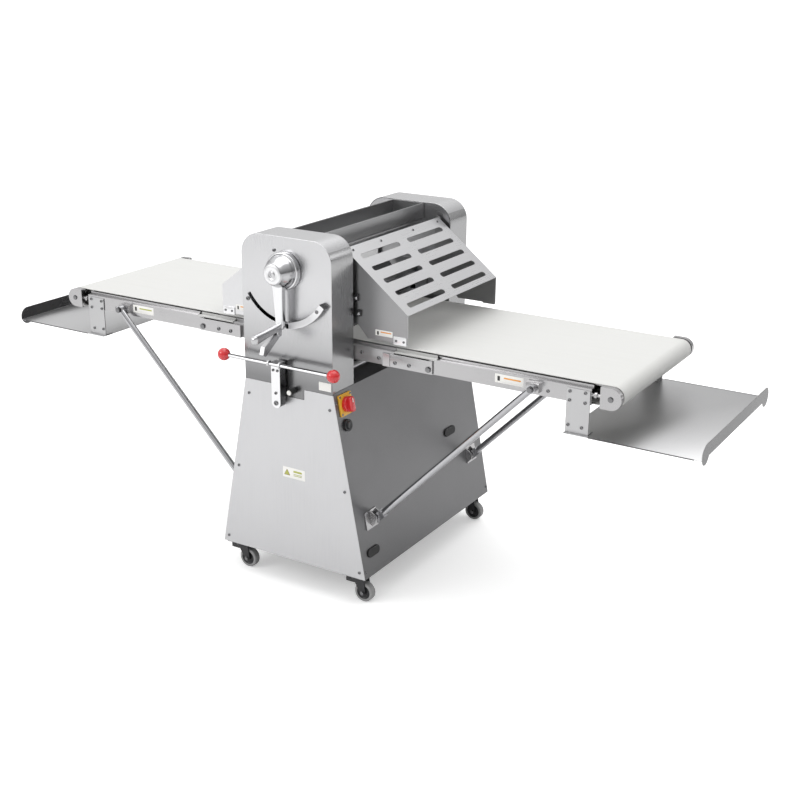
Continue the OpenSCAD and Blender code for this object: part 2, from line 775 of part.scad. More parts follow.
module moving_bed() {
    translate([moving_bed_x, -belt_half + 3, bed_top - bed_t])
        cube([end_x - belt_r - 4 - moving_bed_x, belt_w - 6, bed_t]);
    for (x = [fold_x + 119, rail_end - 64]) cross_member(x);
}

module end_roller() {
    rod_y(end_x, roller_z, roller_r, -belt_half - 3, belt_half + 3);
    rod_y(end_x, roller_z, 8, -rail_out - 4, rail_out + 4);
}

module belt_loop() along_y(-belt_half, belt_half)
    loop_band(drive_x, roller_z, end_x, roller_z, loop_r, belt_t);

// Hanging brackets and the thin pan bolted under their inturned feet
module pan() {
    both_y() {
        translate([pan_x0, rail_out + seat, pan_top]) cube([pan_plate_w, rail_t, rail_top - 6 - pan_top]);
        translate([pan_x0, rail_out + seat - 30, pan_top]) cube([pan_plate_w, 30, rail_t]);
    }
    translate([pan_x0, -pan_w / 2, pan_top - seat - pan_t]) cube([pan_x1 - pan_x0, pan_w, pan_t]);
    lip_r = min(30, pan_lip - 5);
    translate([pan_x1 - pan_t, 0, pan_top - seat - pan_t]) rotate([90, 0, 90]) linear_extrude(pan_t)
        arch(pan_w / 2, 0, pan_lip, lip_r);
}

// A tubular strut: an eye at its top, a vee-ended foot that sits over the cabinet's hook pin
module strut() translate([strut_top_x, 0, strut_top_z]) rotate([0, 180 - strut_angle, 0]) {
    foot = 30;
    translate([0, strut_y, 0]) {
        difference() {
            union() {
                rotate([90, 0, 0]) cylinder(r = 13, h = 2 * strut_r, center = true);
                rotate([0, 90, 0]) cylinder(r = strut_r, h = strut_l - foot);
                translate([strut_l - foot, -strut_r, -13]) cube([foot + 2, 2 * strut_r, 26]);
            }
            rotate([90, 0, 0]) cylinder(r = strut_pin_r + run_fit, h = 2 * strut_r + 2, center = true);
            rotate([90, 0, 0]) translate([0, 0, -strut_r - 1]) linear_extrude(2 * strut_r + 2) polygon([
                [strut_l - (hook_r + slide_fit) * sqrt(2), 0], [strut_l + 20, 20 + (hook_r + slide_fit) * sqrt(2)],
                [strut_l + 20, -20 - (hook_r + slide_fit) * sqrt(2)]]);
        }
    }
}

module strut_bracket() {
    ear = [[side_x(strut_foot_z + 26) + seat, strut_foot_z + 26],
        [strut_foot_x + 6, strut_foot_z + 9], [strut_foot_x + 6, strut_foot_z - 9],
        [side_x(strut_foot_z - 30) + seat, strut_foot_z - 30]];
    for (y = [strut_y - strut_r - 7, strut_y + strut_r + 3]) along_y(y, y + 4) polygon(ear);
    rod_y(strut_foot_x, strut_foot_z, hook_r, strut_y - strut_r - 3, strut_y + strut_r + 3);
    along_y(strut_y - strut_r - 7, strut_y + strut_r + 36) polygon([
        [side_x(strut_foot_z + 26) + seat, strut_foot_z + 26],
        [side_x(strut_foot_z + 26) + 4, strut_foot_z + 26],
        [side_x(strut_foot_z - 30) + 4, strut_foot_z - 30],
        [side_x(strut_foot_z - 30) + seat, strut_foot_z - 30]]);
}

module strut_brackets() color("silver") both_x() both_y() strut_bracket();

// ---------------------------------------------------------------- guards, drawn for the right-hand side

// A point of the cover sheet's edge view: u down the slope and v above the hinge line
function on_slope(u, v) = [
    guard_x + u * cos(guard_slope) + v * sin(guard_slope),
    guard_z - u * sin(guard_slope) + v * cos(guard_slope)];

module guard_sheet() along_y(-cheek_y - 0.5, cheek_y + 0.5) polygon([
    on_slope(0, 8), on_slope(guard_l, 8), on_slope(guard_l, 8 + guard_t), on_slope(0, 8 + guard_t)]);

module guard_slots() translate([guard_x, 0, guard_z]) rotate([0, guard_slope, 0])
    for (k = [0:slot_rows - 1], s = [-1, 1])
        translate([slot_first + slot_pitch * k, s * (slot_l / 2 + 25), 6]) rotate(90)
            linear_extrude(guard_t + 4) obround(slot_l, slot_w);

// Two cheeks that hang from the hinge rod and close the guard's ends
module guard_cheek() along_y(cheek_y, cheek_y + guard_t) difference() {
    union() {
        polygon([
            on_slope(0, 8 + guard_t), on_slope(guard_l, 8 + guard_t),
            [on_slope(guard_l, 8 + guard_t)[0], guard_low], [guard_x + 87, guard_low],
            [guard_x + 50, guard_low + 41], [guard_x - 6, guard_low + 41], [guard_x - 6, guard_z]]);
        translate([guard_x, guard_z]) circle(hinge_rod_r + 7);
    }
    translate([guard_x, guard_z]) circle(hinge_rod_r + run_fit);
}

module guard() {
    difference() {
        union() {
            guard_sheet();
            both_y() guard_cheek();
        }
        guard_slots();
    }
    both_y() translate([guard_x + guard_run - 42, cheek_y + guard_t + seat, guard_low - 4])
        cube([45, 2, 25]);
}

// ---------------------------------------------------------------- castors

module castor_fork(sx, sy) color("dimgray") translate([sx * castor_x, sy * castor_y, 0]) {
    wheel_r = wheel_d / 2;
    crown_z = foot_z - 19;
    difference() {
        union() {
            translate([0, 0, crown_z]) cylinder(r = 27, h = foot_z - 4.5 - crown_z);
            translate([-18, -wheel_w / 2 - 5, crown_z]) cube([trail + 22, wheel_w + 10, 5]);
        }
        translate([0, 0, crown_z - 1]) cylinder(r = 6 + run_fit, h = 20);
        translate([0, 0, crown_z - 1]) cylinder(r = 10, h = 3.2);
    }
    both_y() along_y(wheel_w / 2 + 1, wheel_w / 2 + 5) {
        translate([trail, wheel_r]) circle(10);
        polygon([[-18, crown_z + 5], [trail + 4, crown_z + 5], [trail + 10, wheel_r],
            [trail - 9, wheel_r - 3]]);
    }
    rod_y(trail, wheel_r, 4, -wheel_w / 2 - 7, wheel_w / 2 + 7);
    translate([-40, -14, crown_z - 14]) cube([22, 28, 5]);
    both_y() translate([-40, 14, crown_z - 14]) cube([30, 3, 17]);
}

module castor_wheel(sx, sy) color("black") translate([sx * castor_x, sy * castor_y, 0])
    ring_y(trail, wheel_d / 2, wheel_d / 2, 4 + run_fit, -wheel_w / 2, wheel_w / 2);

// ---------------------------------------------------------------- named nodes

module right_drive_roller() color("lightgray") drive_roller(chain_a);
module left_drive_roller() color("lightgray") mirror([1, 0, 0]) drive_roller(chain_b);
module right_guard() color("gainsboro") guard();
module left_guard() color("gainsboro") mirror([1, 0, 0]) guard();
module right_rails() color("silver") rails();
module left_rails() color("silver") mirror([1, 0, 0]) rails();
module right_bed() color("silver") moving_bed();
module left_bed() color("silver") mirror([1, 0, 0]) moving_bed();
module right_end_roller() color("lightgray") end_roller();
module left_end_roller() color("lightgray") mirror([1, 0, 0]) end_roller();
module right_belt() color("white") belt_loop();
module left_belt() color("white") mirror([1, 0, 0]) belt_loop();
module right_pan() color("silver") pan();
module left_pan() color("silver") mirror([1, 0, 0]) pan();
module right_struts() color("lightgray") both_y() strut();
module left_struts() color("lightgray") mirror([1, 0, 0]) both_y() strut();

base_frame();
front_panel();
rear_panel();
left_panel();
right_panel();
deck_plate();
front_housing();
rear_housing();
head_frame();
motor();
drive_belt();
conveyor_chains();
electrical_box();
roll_bearings();
lower_scrapers();
gap_scale();
fasteners();
strut_brackets();
rubber_fittings();
control_bezels();
bed_ends();
hinge_plates();
labels();
motor_pulley();
lower_roll();
flour_tray();
main_switch_knob();
start_button();
gap_lever();
gap_grip();
gap_trigger();
gap_shaft();
roll_carriage();
upper_roll();
right_drive_roller();
left_drive_roller();
direction_lever();
lever_balls();
right_guard();
left_guard();
right_rails();
left_rails();
right_bed();
left_bed();
right_end_roller();
left_end_roller();
right_belt();
left_belt();
right_pan();
left_pan();
right_struts();
left_struts();
castor_fork(1, -1);  // front_right_castor_fork
castor_fork(-1, -1);  // front_left_castor_fork
castor_fork(1, 1);  // rear_right_castor_fork
castor_fork(-1, 1);  // rear_left_castor_fork
castor_wheel(1, -1);  // front_right_castor_wheel
castor_wheel(-1, -1);  // front_left_castor_wheel
castor_wheel(1, 1);  // rear_right_castor_wheel
castor_wheel(-1, 1);  // rear_left_castor_wheel
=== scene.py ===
"""Looks of a floor-standing dough sheeter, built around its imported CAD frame.

Lengths are metres in the CAD's own frame: +X along the conveyors, -Y towards the operator, +Z up.
"""
import json
from math import atan2, cos, pi, radians, sin

import bmesh
import bpy
import numpy as np
from mathutils import Matrix, Vector

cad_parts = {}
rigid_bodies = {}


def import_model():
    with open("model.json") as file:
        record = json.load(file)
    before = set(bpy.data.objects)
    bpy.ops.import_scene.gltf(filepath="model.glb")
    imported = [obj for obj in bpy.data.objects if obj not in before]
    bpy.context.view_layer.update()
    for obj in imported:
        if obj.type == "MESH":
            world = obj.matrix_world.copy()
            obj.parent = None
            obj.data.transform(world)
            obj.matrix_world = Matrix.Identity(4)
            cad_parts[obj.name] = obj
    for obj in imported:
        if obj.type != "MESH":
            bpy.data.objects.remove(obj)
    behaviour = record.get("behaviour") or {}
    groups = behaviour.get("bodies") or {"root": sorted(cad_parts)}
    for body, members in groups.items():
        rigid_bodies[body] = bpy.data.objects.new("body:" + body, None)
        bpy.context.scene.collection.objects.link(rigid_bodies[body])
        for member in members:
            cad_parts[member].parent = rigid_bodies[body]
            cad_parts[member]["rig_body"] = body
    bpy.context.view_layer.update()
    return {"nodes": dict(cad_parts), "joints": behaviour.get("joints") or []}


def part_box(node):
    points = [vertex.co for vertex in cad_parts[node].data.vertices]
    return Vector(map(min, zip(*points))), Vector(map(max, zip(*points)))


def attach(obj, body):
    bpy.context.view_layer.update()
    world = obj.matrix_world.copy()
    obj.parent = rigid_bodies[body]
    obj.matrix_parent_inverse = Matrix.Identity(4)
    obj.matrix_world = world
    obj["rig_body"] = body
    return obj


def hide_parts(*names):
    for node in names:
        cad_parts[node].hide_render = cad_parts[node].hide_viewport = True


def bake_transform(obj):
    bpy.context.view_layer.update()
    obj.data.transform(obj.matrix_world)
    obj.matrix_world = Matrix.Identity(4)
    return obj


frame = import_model()
MM = 0.001
TAU = 2 * pi


# ------------------------------------------------------------------ sizes taken from the frame

def low(node):
    """Lowest corner of a CAD piece."""
    return np.array(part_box(node)[0])


def high(node):
    """Highest corner of a CAD piece."""
    return np.array(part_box(node)[1])


def middle(node):
    """Centre of a CAD piece's box."""
    return (low(node) + high(node)) / 2


def joint(name):
    """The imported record's joint of that name."""
    return next(j for j in frame["joints"] if j["name"] == name)


FACE_Y = low("front_panel")[1]
REAR_Y = high("rear_panel")[1]
HEAD_HALF = high("front_housing")[0]
FOOT_Z = low("front_panel")[2]
FOOT_HALF = high("front_panel")[0]
DECK_Z = high("right_panel")[2]
SHAFT = np.array(joint("gap_lever_turn")["pos_m"])
FOLD = np.array(joint("right_table_fold")["pos_m"])
STRUT_TOP = np.array(joint("right_strut_swing")["pos_m"])
END_ROLLER = np.array(joint("right_end_roller_spin")["pos_m"])
DRIVE_ROLLER = np.array(joint("right_drive_roller_spin")["pos_m"])
GUARD_HINGE = np.array(joint("right_guard_lift")["pos_m"])
TILT = np.array(joint("direction_lever_tilt")["pos_m"])
TRIGGER_PIN = np.array(joint("gap_trigger_squeeze")["pos_m"])
BALL_RADIUS = (high("lever_balls")[2] - low("lever_balls")[2]) / 2
CLIP_FACE = high("right_guard")[1]
CHEEK_FACE = 279.06 * MM    # just outside the guards' cheeks, from the middle
RAIL_FACE = 285 * MM        # outer face of the side rails
LEAF_FACE = 291 * MM        # outer face of the hinge plates
SCALE_RADIUS = 165 * MM     # middle of the curved scale, from the gap shaft
UPRIGHT = ((1, 0, 0), (0, 0, 1))        # a face towards the operator: its width, then its height
TABLES = ((1, "right_table"), (-1, "left_table"))
GUARDS = ((1, "right_guard"), (-1, "left_guard"))
SIDE_LEAN = (FOOT_HALF - HEAD_HALF) / (DECK_Z - FOOT_Z)
SIDE_ANGLE = atan2(SIDE_LEAN, 1)
SIDE_NORMAL = np.array((cos(SIDE_ANGLE), 0, sin(SIDE_ANGLE)))
SIDE_UP = np.array((-sin(SIDE_ANGLE), 0, cos(SIDE_ANGLE)))


def side_x(z):
    """Distance from the middle to the cabinet's sloping side at height z."""
    return FOOT_HALF - SIDE_LEAN * (z - FOOT_Z)


# ------------------------------------------------------------------ camera

def add_camera():
    """Camera at three-quarter view, from a position, a yaw, a pitch and a small roll."""
    yaw, pitch, roll = radians(31.286), radians(19.485), radians(0.408)
    forward = Vector((-sin(yaw) * cos(pitch), cos(yaw) * cos(pitch), -sin(pitch)))
    right = Vector((cos(yaw), sin(yaw), 0))
    up = right.cross(forward)
    rolled_right = right * cos(roll) + up * sin(roll)
    rolled_up = up * cos(roll) - right * sin(roll)
    turn = Matrix((rolled_right, rolled_up, -forward)).transposed()
    data = bpy.data.cameras.new("camera")
    data.sensor_width = 36
    data.lens = 57.04
    data.clip_end = 100
    camera = bpy.data.objects.new("camera", data)
    position = (2.17197, -3.32834, 1.91711)
    camera.matrix_world = Matrix.Translation(position) @ turn.to_4x4()
    bpy.context.scene.collection.objects.link(camera)
    bpy.context.scene.camera = camera


add_camera()


# ------------------------------------------------------------------ shared shader groups

def new_group(name, inputs, outputs):
    """Empty shader group with float or vector inputs and outputs, as (name, kind, default)."""
    group = bpy.data.node_groups.new(name, "ShaderNodeTree")
    for label, kind, default in inputs:
        socket = group.interface.new_socket(label, in_out="INPUT", socket_type=f"NodeSocket{kind}")
        if default is not None:
            socket.default_value = default
    for label, kind in outputs:
        group.interface.new_socket(label, in_out="OUTPUT", socket_type=f"NodeSocket{kind}")
    return group, group.nodes.new("NodeGroupInput"), group.nodes.new("NodeGroupOutput")


def math_node(nodes, links, operation, first, second, clamp=False):
    """Math node fed by sockets or numbers; returns its result."""
    node = nodes.new("ShaderNodeMath")
    node.operation = operation
    node.use_clamp = clamp
    for socket, value in zip(node.inputs, (first, second)):
        if isinstance(value, (int, float)):
            socket.default_value = value
        else:
            links.new(value, socket)
    return node.outputs[0]


def noise_node(nodes, links, vector, scale, detail, rough):
    """Noise whose vector and scale are a socket and a number or socket; returns its value."""
    node = nodes.new("ShaderNodeTexNoise")
    node.inputs["Detail"].default_value = detail
    node.inputs["Roughness"].default_value = rough
    links.new(vector, node.inputs["Vector"])
    if isinstance(scale, (int, float)):
        node.inputs["Scale"].default_value = scale
    else:
        links.new(scale, node.inputs["Scale"])
    return node.outputs["Fac"]


def brushed_group():
    """Fine scratches drawn out along one axis, with broad soft patches of handling marks.

    The position is multiplied by Stretch, so noise runs long where Stretch is small. Height is the
    scratches' relief, Rough is the base roughness plus their share and the patches' share, and Tint
    darkens the colour a little in the patches.
    """
    group, source, sink = new_group(
        "brushed_grain",
        [("Vector", "Vector", None), ("Stretch", "Vector", (12, 12, 900)), ("Rough", "Float", 0.3),
         ("Grain", "Float", 0.1), ("Patch", "Float", 0.05)],
        [("Rough", "Float"), ("Height", "Float"), ("Tint", "Float")])
    nodes, links = group.nodes, group.links
    drawn = nodes.new("ShaderNodeVectorMath")
    drawn.operation = "MULTIPLY"
    links.new(source.outputs["Vector"], drawn.inputs[0])
    links.new(source.outputs["Stretch"], drawn.inputs[1])
    scratch = noise_node(nodes, links, drawn.outputs[0], 1.0, 4.0, 0.65)
    patch = noise_node(nodes, links, source.outputs["Vector"], 5.0, 3.0, 0.5)
    centred = math_node(nodes, links, "SUBTRACT", scratch, 0.5)
    cloudy = math_node(nodes, links, "SUBTRACT", patch, 0.5)
    grain = math_node(nodes, links, "MULTIPLY", centred, source.outputs["Grain"])
    cloud = math_node(nodes, links, "MULTIPLY", cloudy, source.outputs["Patch"])
    total = math_node(nodes, links, "ADD", grain, cloud)
    links.new(math_node(nodes, links, "ADD", total, source.outputs["Rough"], True), sink.inputs["Rough"])
    links.new(scratch, sink.inputs["Height"])
    shade = math_node(nodes, links, "ADD", math_node(nodes, links, "MULTIPLY", total, -0.8), 1.0, True)
    links.new(shade, sink.inputs["Tint"])
    return group


def dusty_group():
    """Flour dust that settles on faces that look up, broken by noise, and fine mottling.

    Dust is how far the normal points up, times a noise mask, times Amount. Mottle is fine noise for
    roughness and relief.
    """
    group, source, sink = new_group(
        "flour_dust",
        [("Vector", "Vector", None), ("Amount", "Float", 0.3), ("Fineness", "Float", 300.0)],
        [("Dust", "Float"), ("Mottle", "Float")])
    nodes, links = group.nodes, group.links
    geometry = nodes.new("ShaderNodeNewGeometry")
    split = nodes.new("ShaderNodeSeparateXYZ")
    links.new(geometry.outputs["Normal"], split.inputs[0])
    upward = math_node(nodes, links, "SUBTRACT", split.outputs["Z"], 0.55)
    upward = math_node(nodes, links, "MULTIPLY", upward, 2.2, True)
    veil = noise_node(nodes, links, source.outputs["Vector"], 14.0, 6.0, 0.65)
    veil = math_node(nodes, links, "SUBTRACT", veil, 0.42)
    veil = math_node(nodes, links, "MULTIPLY", veil, 4.0, True)
    settled = math_node(nodes, links, "MULTIPLY", upward, veil)
    dust = math_node(nodes, links, "MULTIPLY", settled, source.outputs["Amount"], True)
    links.new(dust, sink.inputs["Dust"])
    mottle = noise_node(nodes, links, source.outputs["Vector"], source.outputs["Fineness"], 2.0, 0.5)
    links.new(mottle, sink.inputs["Mottle"])
    return group


BRUSHED = brushed_group()
DUSTY = dusty_group()
MATERIALS = {}              # every finish by its name, filled as they are made


def place_group(nodes, links, group, values):
    """Puts a shared group in a material, fed by Object coordinates, with its own values."""
    where = nodes.new("ShaderNodeTexCoord")
    node = nodes.new("ShaderNodeGroup")
    node.node_tree = group
    links.new(where.outputs["Object"], node.inputs["Vector"])
    for label, value in values.items():
        node.inputs[label].default_value = value
    return node


def start_material(name, colour, metallic, rough, coat=0.0):
    """Principled material with its plain values set; returns its tree's parts and its shader."""
    material = bpy.data.materials.new(name)
    MATERIALS[name] = material
    material.use_nodes = True
    nodes, links = material.node_tree.nodes, material.node_tree.links
    shader = nodes["Principled BSDF"]
    shader.inputs["Base Color"].default_value = (*colour, 1)
    shader.inputs["Metallic"].default_value = metallic
    shader.inputs["Roughness"].default_value = rough
    shader.inputs["Coat Weight"].default_value = coat
    return nodes, links, shader


def tinted(nodes, links, shader, colour, factor, other):
    """Mixes the base colour towards another by a factor socket."""
    mix = nodes.new("ShaderNodeMix")
    mix.data_type = "RGBA"
    mix.inputs["A"].default_value = (*colour, 1)
    mix.inputs["B"].default_value = (*other, 1)
    links.new(factor, mix.inputs["Factor"])
    links.new(mix.outputs["Result"], shader.inputs["Base Color"])


def bumped(nodes, links, shader, height, strength, distance):
    """Feeds a height socket through a Bump node to the shader's normal."""
    bump = nodes.new("ShaderNodeBump")
    bump.inputs["Strength"].default_value = strength
    bump.inputs["Distance"].default_value = distance
    links.new(height, bump.inputs["Height"])
    links.new(bump.outputs["Normal"], shader.inputs["Normal"])


def low_shade(nodes, links, top, bottom, amount):
    """How far a point lies below top towards bottom, from 0 to amount, by its height: the mask of a painted
    shade.
    """
    where = nodes.new("ShaderNodeTexCoord")
    split = nodes.new("ShaderNodeSeparateXYZ")
    links.new(where.outputs["Object"], split.inputs[0])
    below = math_node(nodes, links, "SUBTRACT", top, split.outputs["Z"])
    share = math_node(nodes, links, "DIVIDE", below, top - bottom, True)
    return math_node(nodes, links, "MULTIPLY", math_node(nodes, links, "POWER", share, 1.6), amount)


def steel(name, colour, rough, stretch=(12, 12, 900), grain=0.16, patch=0.10, relief=0.12, low_painted_shade=None):
    """Brushed metal whose scratches run along the axis where stretch is smallest.

    The last argument gives the heights between which the colour darkens downwards, and by how much: a painted
    shade for the dark reflection on the sheet's lower part.
    """
    nodes, links, shader = start_material(name, colour, 1.0, rough)
    group = place_group(nodes, links, BRUSHED, {
        "Stretch": stretch, "Rough": rough, "Grain": grain, "Patch": patch})
    links.new(group.outputs["Rough"], shader.inputs["Roughness"])
    gain, darkest = (1.6, 0.30) if low_painted_shade else (4.0, 0.72)
    fade = math_node(nodes, links, "SUBTRACT", 1.0, group.outputs["Tint"], True)
    fade = math_node(nodes, links, "MULTIPLY", fade, gain, True)
    # Painted shade: the colour darkens towards the sheet's lower part, by height.
    if low_painted_shade:
        fade = math_node(nodes, links, "ADD", fade, low_shade(nodes, links, *low_painted_shade), True)
    darker = tuple(c * darkest for c in colour)
    tinted(nodes, links, shader, colour, fade, darker)
    bumped(nodes, links, shader, group.outputs["Height"], relief, 0.0002)


def coated(name, colour, rough, fineness=300.0, relief=0.15, dust=0.25, coat=0.0, metallic=0.0):
    """Plastic, rubber or paint with fine mottling and a little flour on its upper faces."""
    nodes, links, shader = start_material(name, colour, metallic, rough, coat)
    group = place_group(nodes, links, DUSTY, {"Amount": dust, "Fineness": fineness})
    lighter = tuple(0.75 * c + 0.18 for c in colour)
    tinted(nodes, links, shader, colour, group.outputs["Dust"], lighter)
    centred = math_node(nodes, links, "SUBTRACT", group.outputs["Mottle"], 0.5)
    spread = math_node(nodes, links, "MULTIPLY", centred, 0.25)
    links.new(math_node(nodes, links, "ADD", spread, rough, True), shader.inputs["Roughness"])
    bumped(nodes, links, shader, group.outputs["Mottle"], relief, 0.0003)


def woven_belt(name, colour):
    """Coated belt cloth: a fine crossed weave under a smooth coat, with faint flour streaks along X."""
    nodes, links, shader = start_material(name, colour, 0.0, 0.62)
    where = nodes.new("ShaderNodeTexCoord")
    split = nodes.new("ShaderNodeSeparateXYZ")
    links.new(where.outputs["Object"], split.inputs[0])
    pitch = TAU / (1.6 * MM)
    threads = []
    for axis in "XY":
        phase = math_node(nodes, links, "MULTIPLY", split.outputs[axis], pitch)
        threads.append(math_node(nodes, links, "SINE", phase, 0))
    weave = math_node(nodes, links, "MULTIPLY", *threads)
    streaky = place_group(nodes, links, BRUSHED, {
        "Stretch": (2.0, 60.0, 2.0), "Rough": 0.6, "Grain": 0.25, "Patch": 0.2})
    fade = math_node(nodes, links, "SUBTRACT", 1.0, streaky.outputs["Tint"], True)
    tinted(nodes, links, shader, colour, math_node(nodes, links, "MULTIPLY", fade, 2.0, True),
           (colour[0] * 0.93, colour[1] * 0.92, colour[2] * 0.88))
    links.new(streaky.outputs["Rough"], shader.inputs["Roughness"])
    bumped(nodes, links, shader, weave, 0.12, 0.0002)


ALONG_X, ALONG_Y = (14, 900, 900), (900, 14, 900)
steel("cabinet_front", (0.58, 0.58, 0.59), 0.36, (700, 700, 10))
# The side panels' steel is a darker copy of the front panels': painted shade, as the sides get less light.
steel("cabinet_side", (0.20, 0.20, 0.204), 0.38, (700, 700, 10))
# The head's sheet darkens downwards by height: painted shade for the dark reflection on the housings' lower
# part.
steel("head_sheet", (0.62, 0.62, 0.63), 0.26, (700, 700, 12), 0.07, 0.10, 0.04,
      (1.00, 0.69, 0.92))
steel("guard_sheet", (0.66, 0.66, 0.67), 0.30, ALONG_Y)
# A darker copy of the guard sheet for the right guard's cheeks: painted shade.
steel("guard_cheek", (0.34, 0.34, 0.345), 0.34, ALONG_X)
# A darker copy of the head's sheet for the housings' faces along X, also darkened downwards: painted shade on
# the housings' sides.
steel("head_side", (0.44, 0.44, 0.445), 0.26, (700, 700, 12), 0.07, 0.10, 0.04,
      (1.10, 0.62, 0.60))
steel("rail_inner", (0.40, 0.395, 0.40), 0.50, ALONG_X)
steel("rail_steel", (0.46, 0.455, 0.46), 0.24, ALONG_X)
steel("pan_sheet", (0.51, 0.51, 0.515), 0.34, ALONG_Y)
steel("tray_sheet", (0.36, 0.36, 0.365), 0.32, ALONG_Y)
steel("deck_steel", (0.12, 0.12, 0.122), 0.40, ALONG_X)
# A lighter copy of steel for faces towards the operator: painted highlight.
steel("bright_face", (0.80, 0.80, 0.81), 0.30, (160, 160, 160), 0.08, 0.08, 0.05)
# A darker copy of steel for the sides of the scale and the direction lever, the pans' lips and their hems:
# painted shade.
steel("edge_steel", (0.11, 0.11, 0.113), 0.28, (160, 160, 160), 0.08, 0.08, 0.05)
steel("plate_steel", (0.42, 0.42, 0.43), 0.30, ALONG_X)
steel("turned_steel", (0.60, 0.60, 0.61), 0.26, (400, 400, 400), 0.10, 0.05, 0.05)
steel("bolt_steel", (0.22, 0.22, 0.225), 0.24, (500, 500, 500), 0.10, 0.1, 0.05)
steel("chrome", (0.48, 0.48, 0.495), 0.14, (200, 200, 200), 0.04, 0.04, 0.02)
steel("cast_lever", (0.52, 0.52, 0.53), 0.20, (160, 160, 160), 0.08, 0.08, 0.05)
steel("roll_chrome", (0.72, 0.72, 0.74), 0.16, ALONG_Y, 0.06, 0.05, 0.03)
coated("frame_paint", (0.20, 0.20, 0.21), 0.45, metallic=0.3)
coated("motor_paint", (0.10, 0.17, 0.26), 0.40, coat=0.2)
woven_belt("belt_white", (0.59, 0.59, 0.575))
coated("red_plastic", (0.62, 0.02, 0.025), 0.18, 120, 0.03, 0.05, 0.6)
coated("yellow_plastic", (0.78, 0.42, 0.03), 0.35, 400, 0.06, 0.1)
coated("black_plastic", (0.018, 0.018, 0.02), 0.38, 500, 0.10, 0.15)
coated("black_rubber", (0.020, 0.020, 0.021), 0.62, 260, 0.2, 0.3)
coated("castor_black", (0.022, 0.022, 0.024), 0.36, 350, 0.12, 0.3)
coated("tread_grey", (0.30, 0.30, 0.30), 0.60, 500, 0.2, 0.2)
coated("box_plastic", (0.55, 0.56, 0.57), 0.45)
coated("seal_grey", (0.52, 0.52, 0.51), 0.40, 400, 0.08, 0.2)
coated("label_white", (0.84, 0.83, 0.80), 0.40, 300, 0.02, 0.05)
coated("label_olive", (0.42, 0.44, 0.10), 0.40, 300, 0.02, 0.05)
coated("label_orange", (0.78, 0.33, 0.06), 0.40, 300, 0.02, 0.05)
coated("label_brown", (0.24, 0.17, 0.08), 0.40, 300, 0.02, 0.05)
coated("label_dark", (0.02, 0.02, 0.02), 0.40, 300, 0.02, 0.05)


# ------------------------------------------------------------------ shapes worked out as arrays

def grid_faces(rows, cols, wrap_rows=False, wrap_cols=False):
    """Quads between the neighbours of a rows by cols grid of points."""
    i, j = np.meshgrid(np.arange(rows if wrap_rows else rows - 1),
                       np.arange(cols if wrap_cols else cols - 1), indexing="ij")
    i2, j2 = (i + 1) % rows, (j + 1) % cols
    return np.stack([i * cols + j, i2 * cols + j, i2 * cols + j2, i * cols + j2], -1).reshape(-1, 4)


def joined(*shapes):
    """Several (points, quads) shapes as one."""
    points, quads, count = [], [], 0
    for verts, faces in shapes:
        points.append(verts)
        quads.append(faces + count)
        count += len(verts)
    return np.concatenate(points), np.concatenate(quads)


def basis(axis):
    """Three unit vectors, the last along axis."""
    w = np.array(axis, float)
    w /= np.linalg.norm(w)
    u = np.cross(w, (0, 0, 1) if abs(w[2]) < 0.9 else (1, 0, 0))
    u /= np.linalg.norm(u)
    return u, np.cross(w, u), w


def placed(shape, origin, axis):
    """A shape drawn about +Z at the origin, moved to origin with +Z turned to axis."""
    verts, faces = shape
    u, v, w = basis(axis)
    return np.array(origin) + verts @ np.array([u, v, w]), faces


def lathe(profile, segments=40, sides=None):
    """Turned shape: each (radius, height) of the profile swept round +Z.

    With sides, the radius follows a regular polygon: r / cos(angle from the flat's middle). The
    profile may mark rows to be polygonal with a third number of 1.
    """
    rows = np.array([(*p, 0)[:3] for p in profile], float)
    angle = np.linspace(0, TAU, segments, endpoint=False)
    round_r = np.ones(segments)
    if sides:
        step = TAU / sides
        round_r = 1 / np.cos((angle + step / 2) % step - step / 2)
    scale = np.where(rows[:, 2:3] > 0, round_r[None, :], 1.0)
    radius = rows[:, 0:1] * scale
    verts = np.stack([radius * np.cos(angle), radius * np.sin(angle),
                      np.repeat(rows[:, 1:2], segments, 1)], -1).reshape(-1, 3)
    return verts, grid_faces(len(rows), segments, wrap_cols=True)[:, ::-1]


def turned(profile, origin, axis, segments=40):
    """Turned shape from a profile in millimetres, its foot at origin and its height along axis."""
    return placed(lathe([(r * MM, h * MM) for r, h in profile], segments), origin, axis)


def closed_loft(rings):
    """Shape through rings of as many points each, with every end drawn in to its ring's middle."""
    count, around = rings.shape[:2]
    ends = [np.repeat(rings[k].mean(0)[None], around, 0)[None] for k in (0, -1)]
    verts = np.concatenate([ends[0], rings, ends[1]]).reshape(-1, 3)
    return verts, grid_faces(count + 2, around, wrap_cols=True)


def squarish(value, power):
    """A sine or cosine pushed towards plus or minus one, which makes a round section squarer."""
    return np.sign(value) * np.abs(value) ** power


def arc(cx, cy, r, start, end, count=8):
    """Points of a circular arc, angles in degrees."""
    t = np.radians(np.linspace(start, end, count))
    return [(cx + r * a, cy + r * b) for a, b in zip(np.cos(t), np.sin(t))]


def tube(path, radius, segments=16):
    """Round tube along a path of points, with a radius or one radius per point, and closed ends."""
    path = np.array(path, float)
    radius = np.broadcast_to(np.array(radius, float), (len(path),))
    tangent = np.gradient(path, axis=0)
    tangent /= np.linalg.norm(tangent, axis=1)[:, None]
    side = np.cross(tangent, (0.12, 0.31, 1.0))
    side /= np.linalg.norm(side, axis=1)[:, None]
    other = np.cross(tangent, side)
    angle = np.linspace(0, TAU, segments, endpoint=False)
    ring = side[:, None] * np.cos(angle)[None, :, None] + other[:, None] * np.sin(angle)[None, :, None]
    return closed_loft(path[:, None] + ring * radius[:, None, None])


